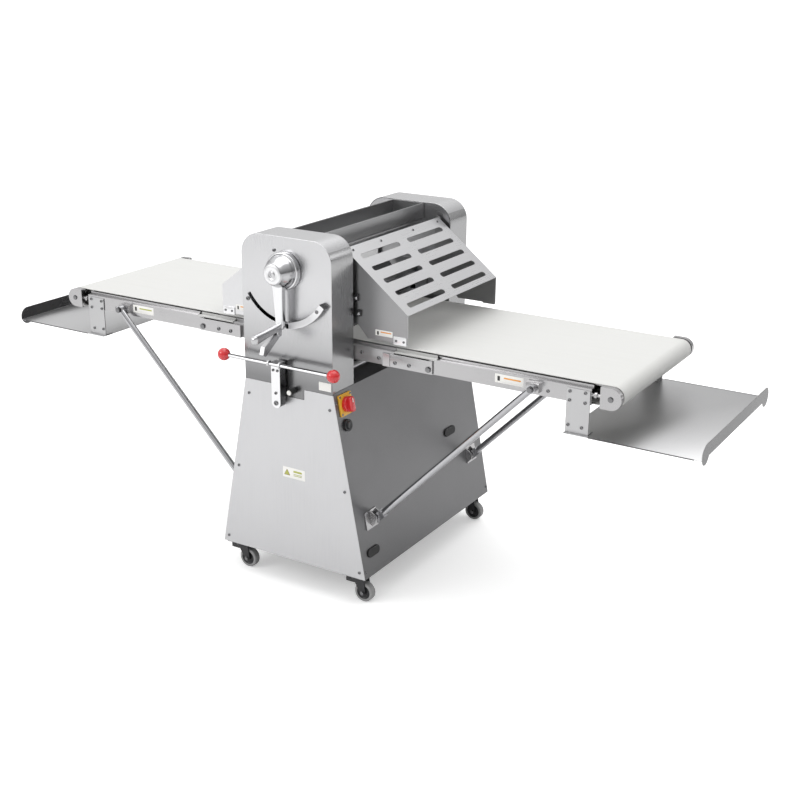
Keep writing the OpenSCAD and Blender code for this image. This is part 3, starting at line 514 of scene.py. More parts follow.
def bolt(origin, axis, r, h, socket=True):
    """Button-head screw: a low dome with a hexagon socket, or a plain hexagon head with a chamfer."""
    if socket:
        profile = [(0, 0.35 * h), (0.50 * r, 0.35 * h, 1), (0.50 * r, h, 1), (0.66 * r, h)]
        for t in (0.5, 1.0, 1.4, pi / 2):
            profile.append((0.66 * r + 0.34 * r * sin(t), 0.25 * h + 0.75 * h * cos(t)))
        profile += [(r, 0), (0, 0)]
    else:
        profile = [(0, h), (0.80 * r, h), (0.88 * r, 0.93 * h, 1), (0.88 * r, 0.22 * h, 1),
                   (1.15 * r, 0.20 * h), (1.15 * r, 0), (0, 0)]
    return placed(lathe(profile, 24, 6), origin, axis)


def rounded_outline(half_w, half_h, r, count=6):
    """Rectangle with round corners, as an array of (x, y) points, anticlockwise."""
    points = []
    for cx, cy, start in ((1, -1, -90), (1, 1, 0), (-1, 1, 90), (-1, -1, 180)):
        points += arc(cx * (half_w - r), cy * (half_h - r), r, start, start + 90, count)
    return np.array(points)


def plate(outline, thickness, edge):
    """Flat piece with a rounded upper edge, drawn on XY from z = 0: rings that shrink over the edge."""
    centre = outline.mean(0)
    reach = np.linalg.norm(outline - centre, axis=1)[:, None]
    rings = [np.column_stack([outline * 0 + centre, np.zeros(len(outline))]),
             np.column_stack([outline, np.zeros(len(outline))])]
    for t in np.radians((0, 30, 60, 90)):
        shrink = 1 - edge * (1 - cos(t)) / reach
        rings.append(np.column_stack([centre + (outline - centre) * shrink,
                                      np.full(len(outline), thickness - edge + edge * sin(t))]))
    rings.append(np.column_stack([outline * 0 + centre, np.full(len(outline), thickness)]))
    verts = np.concatenate(rings)
    return verts, grid_faces(len(rings), len(outline), wrap_cols=True)


def slab(half_w, half_h, corner, thickness, edge, count=4):
    """Flat piece with round corners and a rounded upper edge, from millimetres."""
    return plate(rounded_outline(half_w * MM, half_h * MM, corner * MM, count), thickness * MM, edge * MM)


def facing(shape, origin, x_axis, y_axis):
    """A shape drawn on XY, moved to origin with its own X and Y turned to the two given axes."""
    verts, faces = shape
    x, y = np.array(x_axis, float), np.array(y_axis, float)
    x /= np.linalg.norm(x)
    y /= np.linalg.norm(y)
    return np.array(origin) + verts @ np.array([x, y, np.cross(x, y)]), faces


def finished(obj, body):
    """Lets a piece ride on its body."""
    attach(obj, body)
    return obj


def make_piece(name, shape, material, body, smooth=35):
    """Turns a shape into a piece: merges doubles, points the faces out and smooths gentle edges."""
    verts, faces = shape
    mesh = bpy.data.meshes.new(name)
    mesh.from_pydata(verts.tolist(), [], faces.tolist())
    form = bmesh.new()
    form.from_mesh(mesh)
    bmesh.ops.remove_doubles(form, verts=form.verts, dist=2e-6)
    bmesh.ops.recalc_face_normals(form, faces=form.faces)
    form.to_mesh(mesh)
    form.free()
    mesh.shade_smooth()
    mesh.set_sharp_from_angle(angle=radians(smooth))
    mesh.materials.append(MATERIALS[material])
    obj = bpy.data.objects.new(name, mesh)
    bpy.context.scene.collection.objects.link(obj)
    return finished(obj, body) if body else obj


def add_bevel(obj, width):
    """Rounds a piece's sharp edges."""
    bevel = obj.modifiers.new("round", "BEVEL")
    bevel.width = width
    bevel.segments = 2
    bevel.limit_method = "ANGLE"
    bevel.angle_limit = radians(32)
    bevel.harden_normals = True


def turned_faces(mesh, material, axis):
    """Gives the faces that look along plus or minus an axis a second material."""
    mesh.materials.append(MATERIALS[material])
    normals = np.empty(len(mesh.polygons) * 3)
    mesh.polygons.foreach_get("normal", normals)
    facing_it = np.abs(normals.reshape(-1, 3)[:, axis]) > 0.85
    mesh.polygons.foreach_set("material_index", facing_it.astype(np.int32))


def softened(node, material, width, second=None, axis=1):
    """A CAD piece's own shape with its edges rounded by width, in place of the sharp-edged one."""
    source = frame["nodes"][node]
    mesh = source.data.copy()
    form = bmesh.new()
    form.from_mesh(mesh)
    bmesh.ops.remove_doubles(form, verts=form.verts, dist=2e-6)
    bmesh.ops.dissolve_limit(form, angle_limit=radians(0.6), verts=form.verts, edges=form.edges)
    form.to_mesh(mesh)
    form.free()
    mesh.shade_smooth()
    mesh.set_sharp_from_angle(angle=radians(32))
    mesh.materials.clear()
    mesh.materials.append(MATERIALS[material])
    # A second material on the faces along an axis is a lighter or darker copy of the first: painted highlight
    # or painted shade.
    if second:
        turned_faces(mesh, second, axis)
    obj = bpy.data.objects.new(node + "_finish", mesh)
    bpy.context.scene.collection.objects.link(obj)
    add_bevel(obj, width)
    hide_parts(node)
    return finished(obj, source["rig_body"])


# ------------------------------------------------------------------ sheet and machined pieces of the CAD

# A fourth and fifth entry give a second material and the axis its faces look along: a lighter or darker copy
# of the first, painted highlight or painted shade.
SOFTENED = [
    ("front_panel", "cabinet_front", 0.9), ("rear_panel", "cabinet_front", 0.9),
    # The side panels take the darker copy of the cabinet steel: painted shade.
    ("right_panel", "cabinet_side", 0.9), ("left_panel", "cabinet_side", 0.9),
    # The housings' faces along X take the darker copy of the head's sheet: painted shade.
    ("deck_plate", "deck_steel", 0.6), ("front_housing", "head_sheet", 1.8, "head_side", 0),
    ("rear_housing", "head_sheet", 1.8, "head_side", 0), ("head_frame", "plate_steel", 0.8),
    # The scale's and the direction lever's sides take the darker steel, painted shade, and their faces
    # towards the operator the lighter steel, painted highlight.
    ("gap_scale", "edge_steel", 1.8, "bright_face"), ("hinge_plates", "rail_steel", 1.0),
    ("bed_ends", "rail_inner", 0.8), ("strut_brackets", "rail_steel", 1.0),
    ("direction_lever", "edge_steel", 1.6, "bright_face"), ("gap_trigger", "cast_lever", 3.0),
    # The right guard's cheeks take the darker copy of the guard sheet: painted shade.
    ("right_guard", "guard_sheet", 0.7, "guard_cheek", 1),
    ("left_guard", "guard_sheet", 0.7),
    ("right_rails", "rail_steel", 0.8), ("left_rails", "rail_steel", 0.8),
    ("right_bed", "rail_steel", 0.6), ("left_bed", "rail_steel", 0.6),
    # The pans' faces along X, their lips, take the darker steel: painted shade.
    ("right_pan", "pan_sheet", 0.6, "edge_steel", 0), ("left_pan", "pan_sheet", 0.6, "edge_steel", 0),
    ("right_struts", "chrome", 1.5), ("left_struts", "chrome", 1.5),
    ("roll_carriage", "plate_steel", 0.8), ("lower_scrapers", "plate_steel", 0.3),
    ("electrical_box", "box_plastic", 4.0), ("motor", "motor_paint", 2.0),
    ("flour_tray", "tray_sheet", 0.6), ("rubber_fittings", "black_rubber", 1.5),
    ("base_frame", "frame_paint", 2.0),
] + [(f"{place}_castor_fork", "castor_black", 1.6)
     for place in ("front_right", "front_left", "rear_right", "rear_left")]

KEPT = {
    "drive_belt": "black_rubber", "conveyor_chains": "turned_steel", "roll_bearings": "turned_steel",
    "gap_shaft": "turned_steel", "motor_pulley": "turned_steel", "lower_roll": "roll_chrome",
    "upper_roll": "roll_chrome", "right_drive_roller": "turned_steel",
    "left_drive_roller": "turned_steel", "right_end_roller": "turned_steel",
    "left_end_roller": "turned_steel",
}


def finish_cad_pieces():
    """Rounds the edges of the sheet and cast pieces, and gives the inner ones their metal."""
    for node, material, width, *second in SOFTENED:
        softened(node, material, width * MM, *second)
    for node, material in KEPT.items():
        obj = frame["nodes"][node]
        obj.data.materials.clear()
        obj.data.materials.append(MATERIALS[material])


# ------------------------------------------------------------------ belts

def belt_loop(name, side, node):
    """Belt as a flat band swept round its drive roller and its end roller.

    line holds the loop's middle and its outward direction in XZ. section is the band's cut, a flat
    rectangle whose ends are half circles, so the edges look soft.
    """
    lo, hi = low(node), high(node)
    outer = (hi[2] - lo[2]) / 2
    half_t = 1.35 * MM
    centre_z = (hi[2] + lo[2]) / 2
    x0, x1 = DRIVE_ROLLER[0], END_ROLLER[0]
    mid = outer - half_t
    steps, across = 120, 24
    straight = np.linspace(x0, x1, steps)
    turn = np.linspace(pi / 2, -pi / 2, 25)[1:-1]
    line = np.concatenate([
        np.column_stack([straight, np.full(steps, mid), np.zeros(steps), np.ones(steps)]),
        np.column_stack([x1 + mid * np.cos(turn), mid * np.sin(turn), np.cos(turn), np.sin(turn)]),
        np.column_stack([straight[::-1], np.full(steps, -mid), np.zeros(steps), -np.ones(steps)]),
        np.column_stack([x0 - mid * np.cos(turn), -mid * np.sin(turn), -np.cos(turn), -np.sin(turn)])])
    half_w = (hi[1] - lo[1]) / 2
    cap = np.radians(np.linspace(-90, 90, 5))
    flat = np.linspace(-half_w + half_t, half_w - half_t, across)
    section = np.concatenate([
        np.column_stack([flat, np.full(across, half_t)]),
        np.column_stack([half_w - half_t + half_t * np.cos(-cap), half_t * np.sin(-cap)])[1:-1],
        np.column_stack([flat[::-1], np.full(across, -half_t)]),
        np.column_stack([-half_w + half_t - half_t * np.cos(cap), half_t * np.sin(cap)])[1:-1]])
    x = line[:, None, 0] + line[:, None, 2] * section[None, :, 1]
    z = centre_z + line[:, None, 1] + line[:, None, 3] * section[None, :, 1]
    y = np.broadcast_to(section[None, :, 0], x.shape)
    verts = np.stack([side * x, y, z], -1).reshape(-1, 3)
    shape = verts, grid_faces(len(line), len(section), True, True)
    obj = make_piece(name, shape, "belt_white", None, smooth=50)
    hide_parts(node)
    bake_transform(obj)


def build_edge_seals():
    """Flexible angle strips that carry the rails' upper edges across each hinge.

    An L of flange and lip in YZ is carried along X.
    """
    y = np.array((268, 268, 270, 270, 286.8, 286.8))[None, :] * MM
    z = np.array((800.2, 811, 811, 803.4, 803.4, 800.2))[None, :] * MM
    x = np.linspace(300.5, 446.0, 57)[:, None] * MM
    for side, table in TABLES:
        strips = [closed_loft(np.stack([side * x + 0 * y, sy * y + 0 * x, z + 0 * x], -1)) for sy in (-1, 1)]
        obj = make_piece(f"{table}_edge_seals", joined(*strips), "seal_grey", None)
        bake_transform(obj)


# ------------------------------------------------------------------ gap lever

def lever_hub():
    """Turned hub with a thick rim, a groove, a hollow-sided cone and a domed cap, and the cap's screw."""
    base = high("gap_lever")[1]
    seat = 64
    profile = [(0, 0), (54, 0)] + arc(54, 3, 3, -90, 0, 4) + arc(53, 15, 4, 0, 85, 5)
    profile += [(52, 19), (51.2, 18), (50.4, 19), (49, 28), (45.5, 38), (40.5, 47), (35, 55)]
    profile += arc(23, 54, 12, 25, 90, 7) + [(12.6, 66), (11.4, 65), (11.4, seat), (0, seat)]
    hub = turned(profile, (SHAFT[0], base, SHAFT[2]), (0, -1, 0), 64)
    screw = bolt((SHAFT[0], base - seat * MM, SHAFT[2]), (0, -1, 0), 9.5 * MM, 2.6 * MM)
    return hub, screw


def lever_arm():
    """Cast arm lofted from hub to foot: a rounded box section whose width and depth taper.

    Each section is |cos|^0.28, |sin|^0.28 round its centre, which nears the cabinet towards the foot.
    """
    foot_z = low("gap_lever")[2]
    base = high("gap_lever")[1]
    t = np.linspace(0, 1, 28)[:, None]
    angle = np.linspace(0, TAU, 40, endpoint=False)[None, :]
    round_end = np.sqrt(np.clip(1 - np.clip((t - 0.93) / 0.07, 0, 1) ** 2 * 0.75, 0, 1))
    half_w = (23 - 10 * np.sqrt(t)) * MM * round_end
    half_d = (10 - 2 * t) * MM
    middle_y = base - (34 - 6.2 * t) * MM
    x = half_w * squarish(np.cos(angle), 0.28)
    y = middle_y + half_d * squarish(np.sin(angle), 0.28)
    start_z, end_z = SHAFT[2] - 20 * MM, foot_z + 0.5 * MM
    z = start_z + (end_z - start_z) * t + 0 * angle
    return closed_loft(np.stack([x, y, z], -1))


def gap_grip():
    """Cast grip lofted from root to tip, a squarish oval that grows upwards and ends in a soft cap.

    Each section is |cos|^0.5, |sin|^0.5 round its centre. Its underside stays 9 mm below the axis,
    its height grows from 18 mm to 27 mm, and half a sine wave gives it a slight waist.
    """
    box_low, box_high = low("gap_grip"), high("gap_grip")
    lean = radians(8)
    ahead = np.array((0, -cos(lean), -sin(lean)))
    above = np.array((0, -sin(lean), cos(lean)))
    length = (box_high[1] - box_low[1]) / cos(lean) - 2.5 * MM
    origin = np.array((0, box_high[1] - 0.4 * MM, box_high[2] - 10.2 * MM))
    t = np.concatenate([np.linspace(0, 0.9, 26), np.linspace(0.91, 1, 12)])[:, None]
    angle = np.linspace(0, TAU, 40, endpoint=False)[None, :]
    cap = np.sqrt(np.clip(1 - (np.clip(t - 0.91, 0, 1) / 0.09) ** 2, 0.02, 1))
    waist = 1 - 0.07 * np.sin(np.clip(t / 0.8, 0, 1) * pi)
    half_h = (9 + 4.5 * t) * MM * waist
    half_w = (9 + 2.5 * t) * MM * waist
    rise = half_h - 9 * MM
    across = half_w * cap * squarish(np.cos(angle), 0.5)
    upward = rise + half_h * cap * squarish(np.sin(angle), 0.5)
    forward = length * t + 0 * angle
    return closed_loft(origin + forward[..., None] * ahead + upward[..., None] * above
                       + across[..., None] * np.array((1, 0, 0)))


def grip_bracket():
    """Two cheeks with round corners under the grip's root, and the trigger's pin through both."""
    cheek = slab(9.5, 11, 4, 3, 0.8, 5)
    centre = TRIGGER_PIN + np.array((0, 3.5, 5)) * MM
    parts = [facing(cheek, centre + np.array((x * MM, 0, 0)), (0, 1, 0), (0, 0, 1)) for x in (8, -11)]
    pin = [TRIGGER_PIN + np.array((x * MM, 0, 0)) for x in (-11.8, -11, 11, 11.8)]
    return joined(*parts, tube(pin, np.array((1.9, 2.5, 2.5, 1.9)) * MM, 20))


def build_gap_lever():
    """Casting with its screw, grip on its bracket, and the dark block at the scale's inner end."""
    hub, screw = lever_hub()
    lever = make_piece("gap_lever_casting", joined(hub, lever_arm()), "cast_lever", "gap_lever",
                       40)
    # The casting's faces towards the operator take the lighter steel: painted highlight.
    turned_faces(lever.data, "bright_face", 1)
    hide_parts("gap_lever")
    make_piece("gap_lever_screw", screw, "turned_steel", "gap_lever")
    grip = make_piece("gap_lever_grip", gap_grip(), "cast_lever", "gap_lever", 40)
    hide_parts("gap_grip")
    make_piece("gap_grip_bracket", grip_bracket(), "cast_lever", "gap_lever")
    stop = facing(slab(6, 8, 2, 18, 1.5), (15 * MM, FACE_Y - 1 * MM, 871 * MM), *UPRIGHT)
    make_piece("scale_end_block", stop, "black_plastic", "cabinet")


def build_scale_marks():
    """Plain tick marks across the curved scale, longer at every fifth."""
    face = low("gap_scale")[1] + 0.1 * MM
    shapes = []
    for count, degrees in enumerate(np.arange(8, 56, 3.0)):
        a = radians(degrees)
        outward = np.array((sin(a), 0, -cos(a)))
        along = np.array((cos(a), 0, sin(a)))
        tick = slab(0.6, 5.5 if count % 5 == 0 else 3.0, 0.5, 0.35, 0.1, 3)
        place = np.array((0, face, SHAFT[2])) + outward * SCALE_RADIUS
        shapes.append(facing(tick, place, along, outward))
    make_piece("gap_scale_marks", joined(*shapes), "label_dark", "cabinet")


# ------------------------------------------------------------------ direction lever and controls

def ball_knob(centre, outward):
    """Moulded ball with a short collar where its rod enters, and a small flat at the far end."""
    profile = [(0, -19.6 * MM), (7.8 * MM, -19.6 * MM), (8.6 * MM, -18.8 * MM)]
    profile += arc(0, 0, BALL_RADIUS, -62, 84, 26)
    profile += [(0, profile[-1][1])]
    return placed(lathe(profile, 40), centre, (outward, 0, 0))


def build_direction_lever():
    """Red balls on the cross rod, the collars beside the bar, its bolts, and the buffer's pale cap."""
    lo, hi = low("lever_balls"), high("lever_balls")
    y, z = (lo[1] + hi[1]) / 2, (lo[2] + hi[2]) / 2
    balls = joined(ball_knob((lo[0] + BALL_RADIUS, y, z), -1), ball_knob((hi[0] - BALL_RADIUS, y, z), 1))
    obj = make_piece("direction_lever_balls", balls, "red_plastic", "direction_lever")
    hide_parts("lever_balls")
    bar_x = TILT[0]
    ring = [(6.2, 0), (9, 0), (9.6, 0.6), (9.6, 6.4), (9, 7), (6.2, 7), (6.2, 0)]
    collars = [turned(ring, (bar_x + side * 17 * MM, y, z), (side, 0, 0), 32) for side in (-1, 1)]
    make_piece("rod_collars", joined(*collars), "turned_steel", "direction_lever")
    face = FACE_Y - 35 * MM
    bolts = [bolt((bar_x + dx * MM, face, TILT[2] + dz * MM), (0, -1, 0), r * MM, 3.2 * MM, True)
             for dx, dz, r in ((0, 0, 8), (-8, 104, 4.5), (8, 104, 4.5), (0, 32, 5))]
    make_piece("direction_lever_bolts", joined(*bolts), "bolt_steel", "direction_lever")
    cap = turned([(0, 0), (7.6, 0), (7.6, 2), (6.6, 3.4), (0, 4)],
                 (22 * MM, FACE_Y - 26 * MM, 666 * MM), (0, -1, 0), 28)
    make_piece("buffer_cap", cap, "label_white", "cabinet")


def on_side(shape, y, z, lift):
    """A shape drawn on XY, laid on the sloping side with its X along +Y and its Y upwards."""
    return facing(shape, np.array((side_x(z), y, z)) + SIDE_NORMAL * lift, (0, 1, 0), SIDE_UP)


def build_controls():
    """Main switch with its red handle on a yellow plate, and the black push button in its collar."""
    switch = np.array(joint("main_switch_turn")["pos_m"])
    plate_shape = on_side(slab(33, 33, 4, 5, 1.5, 5), switch[1], switch[2], 0.05 * MM)
    base = make_piece("switch_plate", plate_shape, "yellow_plastic", "cabinet")
    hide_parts("control_bezels")
    button = np.array((0, FACE_Y + 44 * MM, DECK_Z - 107 * MM))
    button[0] = side_x(button[2])
    collar = [(19, 0), (19, 5)] + arc(17.5, 6.5, 1.5, 0, 90, 4) + [(13, 8), (12.5, 7.5), (12.5, 0), (19, 0)]
    make_piece("button_collar", turned(collar, button + np.array((0.05 * MM, 0, 0)), SIDE_NORMAL),
               "black_plastic", "cabinet")
    cap = [(0, -8), (8, -8), (8, 0), (12, 0), (12, 10.5)] + arc(9.5, 10.5, 2.5, 0, 70, 4)
    cap += [(6, 12.4), (0, 11.8)]
    press = make_piece("button_cap", turned(cap, button, SIDE_NORMAL), "black_plastic", "start_button")
    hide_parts("start_button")
    skirt = [(0, -9), (10, -9), (10, 5.5), (24, 5.5), (24, 13)] + arc(21, 14.5, 3, 0, 90, 5) + [(0, 17.5)]
    handle = facing(slab(9, 24, 8, 14, 3, 7), switch + SIDE_NORMAL * 17.4 * MM, (0, 1, 0), SIDE_UP)
    knob = joined(turned(skirt, switch, SIDE_NORMAL, 44), handle)
    turn = make_piece("switch_handle", knob, "red_plastic", "main_switch")
    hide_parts("main_switch_knob")
    pointer = facing(slab(1.6, 7, 1.4, 0.4, 0.1, 3), switch + SIDE_NORMAL * 31.3 * MM + SIDE_UP * 12 * MM,
                     (0, 1, 0), SIDE_UP)
    make_piece("switch_pointer", pointer, "label_white", "main_switch")
    profile = ((0, 0.9), (1.4, 0.9), (1.4, 1.6), (3.4, 1.4), (4, 0), (0, 0))
    head = lathe([(r * MM, h * MM) for r, h in profile], 20)
    screws = [on_side(head, switch[1] + sy * 27 * MM, switch[2] + sz * 26.5 * MM, 5 * MM)
              for sy in (-1, 1) for sz in (-1, 1)]
    make_piece("switch_plate_screws", joined(*screws), "bolt_steel", "cabinet")


# ------------------------------------------------------------------ labels, plain and without words

def film(half_w, half_h, origin, thickness=0.35):
    """Thin printed film with small round corners, facing the operator."""
    return facing(slab(half_w, half_h, 1.5, thickness, 0.08, 3), origin, *UPRIGHT)


def add_films(body, face, films):
    """Films on a face towards the operator: a name, half sizes, a place along X and Z, and a colour each.

    The first lies on the face, and the others are printed on the first.
    """
    for count, (name, half_w, half_h, x, z, material) in enumerate(films):
        y, thickness = (face - 0.34 * MM, 0.1) if count else (face, 0.35)
        shape = film(half_w, half_h, (x * MM, y, z * MM), thickness)
        make_piece(name, shape, material, body)


def triangle(size, origin, thickness):
    """Triangle with small round corners, facing the operator."""
    corner = size * 0.12
    points = []
    for k in range(3):
        turn = 90 + 120 * k
        reach = size - 2 * corner
        points += arc(reach * cos(radians(turn)), reach * sin(radians(turn)), corner, turn - 60, turn + 60, 5)
    return facing(plate(np.array(points) * MM, thickness * MM, 0.05 * MM), origin, *UPRIGHT)


def build_labels():
    """Caution label with its sign and bars, a plain sticker on the head, and a film on each rail."""
    face = FACE_Y - 0.05 * MM
    base = make_piece("caution_label", film(42, 17.5, (14 * MM, face, 392.5 * MM)), "label_white",
                      "cabinet")
    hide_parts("labels")
    print_y = face - 0.34 * MM
    sign_x = -12 * MM
    make_piece("caution_sign_edge", triangle(14, (sign_x, print_y, 390 * MM), 0.1), "label_brown",
               "cabinet")
    make_piece("caution_sign", triangle(11, (sign_x, print_y - 0.1 * MM, 390.3 * MM), 0.1),
               "label_olive", "cabinet")
    bars = [film(16, half_h, (28 * MM, print_y, z * MM), 0.1)
            for half_h, z in ((3.2, 399), (1.1, 390), (1.1, 385.5))]
    make_piece("caution_bars", joined(*bars), "label_olive", "cabinet")
    add_films("cabinet", face, [("approval_sticker", 22, 13, 135, 698, "label_white")])
    for (side, table), bar in zip(TABLES, ("label_orange", "label_olive")):
        name = table.replace("_table", "_rail")
        x = side * 681
        add_films(table, -RAIL_FACE - 0.02 * MM, [
            (f"{name}_label", 45, 13, x, 784, "label_white"),
            (f"{name}_label_bar", 27, 2.2, x + 10, 787, bar),
            (f"{name}_label_spot", 4, 7, x - 33, 784, "label_dark")])


# ------------------------------------------------------------------ screws, bolts and nuts

def panel_screw(place, axis):
    """Button-head screw of the cabinet's panels."""
    return bolt(place, axis, 5 * MM, 2.4 * MM)


def build_fasteners():
    """Screws of the panels, bolts of the hinge plates, rails, pan brackets and struts."""
    screws = []
    clear = 0.02 * MM
    top, foot = 627 * MM, 116 * MM
    for side in (-1, 1):
        outward = (side * SIDE_NORMAL[0], 0, SIDE_NORMAL[2])
        for height in (top, 374 * MM, foot):
            x = 151 * MM + (top - height) / (top - foot) * (254 - 151) * MM
            screws.append(panel_screw((side * x, FACE_Y - clear, height), (0, -1, 0)))
            x = side_x(height) - 14 * MM
            screws.append(panel_screw((side * x, REAR_Y + clear, height), (0, 1, 0)))
        for height in (foot, 650 * MM):
            for y in (FACE_Y + 9 * MM, REAR_Y - 9 * MM):
                screws.append(panel_screw((side * (side_x(height) + clear), y, height), outward))
    for x, height, r in ((-40, 1090, 5), (-142.3, 929.7, 6.5)):
        screws.append(bolt((x * MM, FACE_Y - clear, height * MM), (0, -1, 0), r * MM, 4 * MM))
    screws.append(bolt((122.4 * MM, FACE_Y - 19 * MM, 930.4 * MM), (0, -1, 0), 6 * MM, 1.5 * MM))
    obj = make_piece("cabinet_screws", joined(*screws), "bolt_steel", "cabinet")
    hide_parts("fasteners")

    for side, table in TABLES:
        fixed, moving = [], []
        for sy in (-1, 1):
            out = (0, sy, 0)
            for x in (308, 356):
                fixed.append(bolt((side * x * MM, sy * LEAF_FACE, 772 * MM), out, 6 * MM, 3.4 * MM))
            for x, z in ((188, 784), (248, 776)):
                fixed.append(bolt((side * x * MM, sy * RAIL_FACE, z * MM), out, 6 * MM, 3.4 * MM))
            fixed.append(bolt((side * FOLD[0], sy * LEAF_FACE, FOLD[2]), out, 8.5 * MM, 5 * MM, False))
            moving.append(bolt((side * 801 * MM, sy * RAIL_FACE, 774 * MM), out, 5 * MM, 3 * MM))
            for x, z in ((868, 788), (868, 762), (914, 790), (914, 761), (867, 690), (908, 688)):
                place = (side * x * MM, sy * (RAIL_FACE + 3.05 * MM), z * MM)
                moving.append(bolt(place, out, 5 * MM, 3 * MM))
            for x in (878, 908):
                place = (side * x * MM, sy * 270 * MM, 666.4 * MM)
                moving.append(bolt(place, (0, 0, -1), 5 * MM, 3 * MM, False))
            roller_end = (side * END_ROLLER[0], sy * 290 * MM, END_ROLLER[2])
            moving.append(bolt(roller_end, out, 7.5 * MM, 3.4 * MM, False))
            pin_end = (side * STRUT_TOP[0], sy * (high("right_struts")[1] + 2.6 * MM), STRUT_TOP[2])
            moving.append(bolt(pin_end, out, 8.5 * MM, 4 * MM, False))
        make_piece(f"{table}_hinge_bolts", joined(*fixed), "bolt_steel", "cabinet")
        make_piece(f"{table}_bolts", joined(*moving), "bolt_steel", table)


def build_guard_trim():
    """Screws, dark blocks with bright studs, corner clips and a plain label on each guard."""
    fall = atan2(173, 220)      # slope of the slotted sheet
    for side, guard in GUARDS:
        along = np.array((side * cos(fall), 0, -sin(fall)))
        normal = np.array((side * sin(fall), 0, cos(fall)))
        hinge = np.array((side * GUARD_HINGE[0], 0, GUARD_HINGE[2]))
        heads = []
        edge = hinge + along * 14 * MM + normal * 10 * MM
        for y in (-250, -95, 95, 250):
            heads.append(bolt(edge + np.array((0, y * MM, 0)), normal, 4.5 * MM, 2.2 * MM))
        for sy in (-1, 1):
            for x in (306, 332):
                heads.append(bolt((side * x * MM, sy * 282 * MM, 837 * MM), (0, sy, 0), 4 * MM, 2 * MM))
        make_piece(f"{guard}_screws", joined(*heads), "bolt_steel", guard)
        stops, studs = [], []
        for sy in (-1, 1):
            for x, z in ((168, 950), (177, 903)):
                block = (side * x * MM, sy * CHEEK_FACE, z * MM)
                stops.append(facing(slab(7, 10, 2.5, 6, 1), block, (-sy, 0, 0), (0, 0, 1)))
                stud = (side * x * MM, sy * (CHEEK_FACE + 5.94 * MM), (z - 2) * MM)
                studs.append(bolt(stud, (0, sy, 0), 4.5 * MM, 3 * MM))
        make_piece(f"{guard}_stops", joined(*stops), "black_plastic", guard)
        make_piece(f"{guard}_studs", joined(*studs), "turned_steel", guard)
        # The clips take the lighter steel: painted highlight.
        clips = [facing(slab(22.3, 12.3, 1.5, 1.0, 0.4), (side * 318.5 * MM, sy * CLIP_FACE, 837.5 * MM),
                        (-sy, 0, 0), (0, 0, 1)) for sy in (-1, 1)]
        make_piece(f"{guard}_clips", joined(*clips), "bright_face", guard)
        x = side * 262
        add_films(guard, -CHEEK_FACE, [
            (f"{guard}_label", 30, 9, x, 852, "label_white"),
            (f"{guard}_label_bar", 19, 1.8, x + 7, 855, "label_orange"),
            (f"{guard}_label_spot", 3.2, 5.5, x - 21, 851, "label_dark")])


# ------------------------------------------------------------------ castors

def castor_wheel(centre, half_w):
    """Wheel turned in two parts: a grey tread with a soft crown, and a dark centre with its hub."""
    r = centre[2]
    tread = [(0.74 * r, -half_w)] + arc(r - 4 * MM, -half_w + 4 * MM, 4 * MM, -90, -10, 6)
    tread += [(r - 0.05 * MM, 0)] + arc(r - 4 * MM, half_w - 4 * MM, 4 * MM, 10, 90, 6)
    tread += [(0.74 * r, half_w), (0.72 * r, half_w - 2 * MM)]
    tread += [(0.72 * r, -half_w + 2 * MM), (0.74 * r, -half_w)]
    disc = [(4.1 * MM, -half_w + 1 * MM), (9 * MM, -half_w + 1 * MM), (10 * MM, -half_w + 4 * MM),
            (0.60 * r, -half_w + 5 * MM), (0.72 * r, -half_w + 1.5 * MM), (0.735 * r, -half_w + 1.6 * MM),
            (0.735 * r, half_w - 1.6 * MM), (0.72 * r, half_w - 1.5 * MM), (0.60 * r, half_w - 5 * MM),
            (10 * MM, half_w - 4 * MM), (9 * MM, half_w - 1 * MM), (4.1 * MM, half_w - 1 * MM),
            (4.1 * MM, -half_w + 1 * MM)]
    return placed(lathe(tread, 56), centre, (0, 1, 0)), placed(lathe(disc, 48), centre, (0, 1, 0))


def brake_pedal(kingpin):
    """Curved toe pedal: a strip whose height follows a shallow S along X, thickened below."""
    half_w = 15 * MM
    s = np.linspace(0, 1, 14)[:, None]
    x = kingpin[0] - (16 + 26 * s) * MM
    top = kingpin[2] + (-8 - 6 * s ** 2 + 3.5 * s ** 6) * MM
    y = np.array((-1, -0.86, 0.86, 1, 1, 0.86, -0.86, -1))[None, :] * half_w
    drop = np.array((1.2, 0, 0, 1.2, 3.4, 4.4, 4.4, 3.4))[None, :] * MM
    return closed_loft(np.stack([x + 0 * y, kingpin[1] + y + 0 * x, top - drop], -1))


def build_castors():
    """Wheel, hub, brake pedal and axle nuts of each castor."""
    for place in ("front_right", "front_left", "rear_right", "rear_left"):
        node = f"{place}_castor_wheel"
        centre = middle(node)
        half_w = (high(node)[1] - low(node)[1]) / 2
        tread, disc = castor_wheel(centre, half_w)
        tyre = make_piece(f"{place}_castor_tyre", tread, "tread_grey", f"{place}_wheel")
        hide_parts(node)
        make_piece(f"{place}_castor_hub", disc, "castor_black", f"{place}_wheel")
        kingpin = np.array(joint(f"{place}_castor_swivel")["pos_m"])
        make_piece(f"{place}_brake_pedal", brake_pedal(kingpin), "castor_black", f"{place}_castor")
        nuts = [bolt(centre + np.array((0, s * (half_w + 6.6 * MM), 0)), (0, s, 0), 6 * MM, 4 * MM, False)
                for s in (-1, 1)]
        make_piece(f"{place}_axle_nuts", joined(*nuts), "bolt_steel", f"{place}_castor")


# ------------------------------------------------------------------ rolled rims, vents and small fittings

def rim_path(lo, hi, z, r):
    """Closed rectangle with round corners as a path in XY at height z."""
    centre = (lo + hi) / 2
    outline = rounded_outline((hi[0] - lo[0]) / 2, (hi[1] - lo[1]) / 2, r)
    points = np.column_stack([outline + centre[:2], np.full(len(outline), z)])
    return np.concatenate([points, points[:1]])


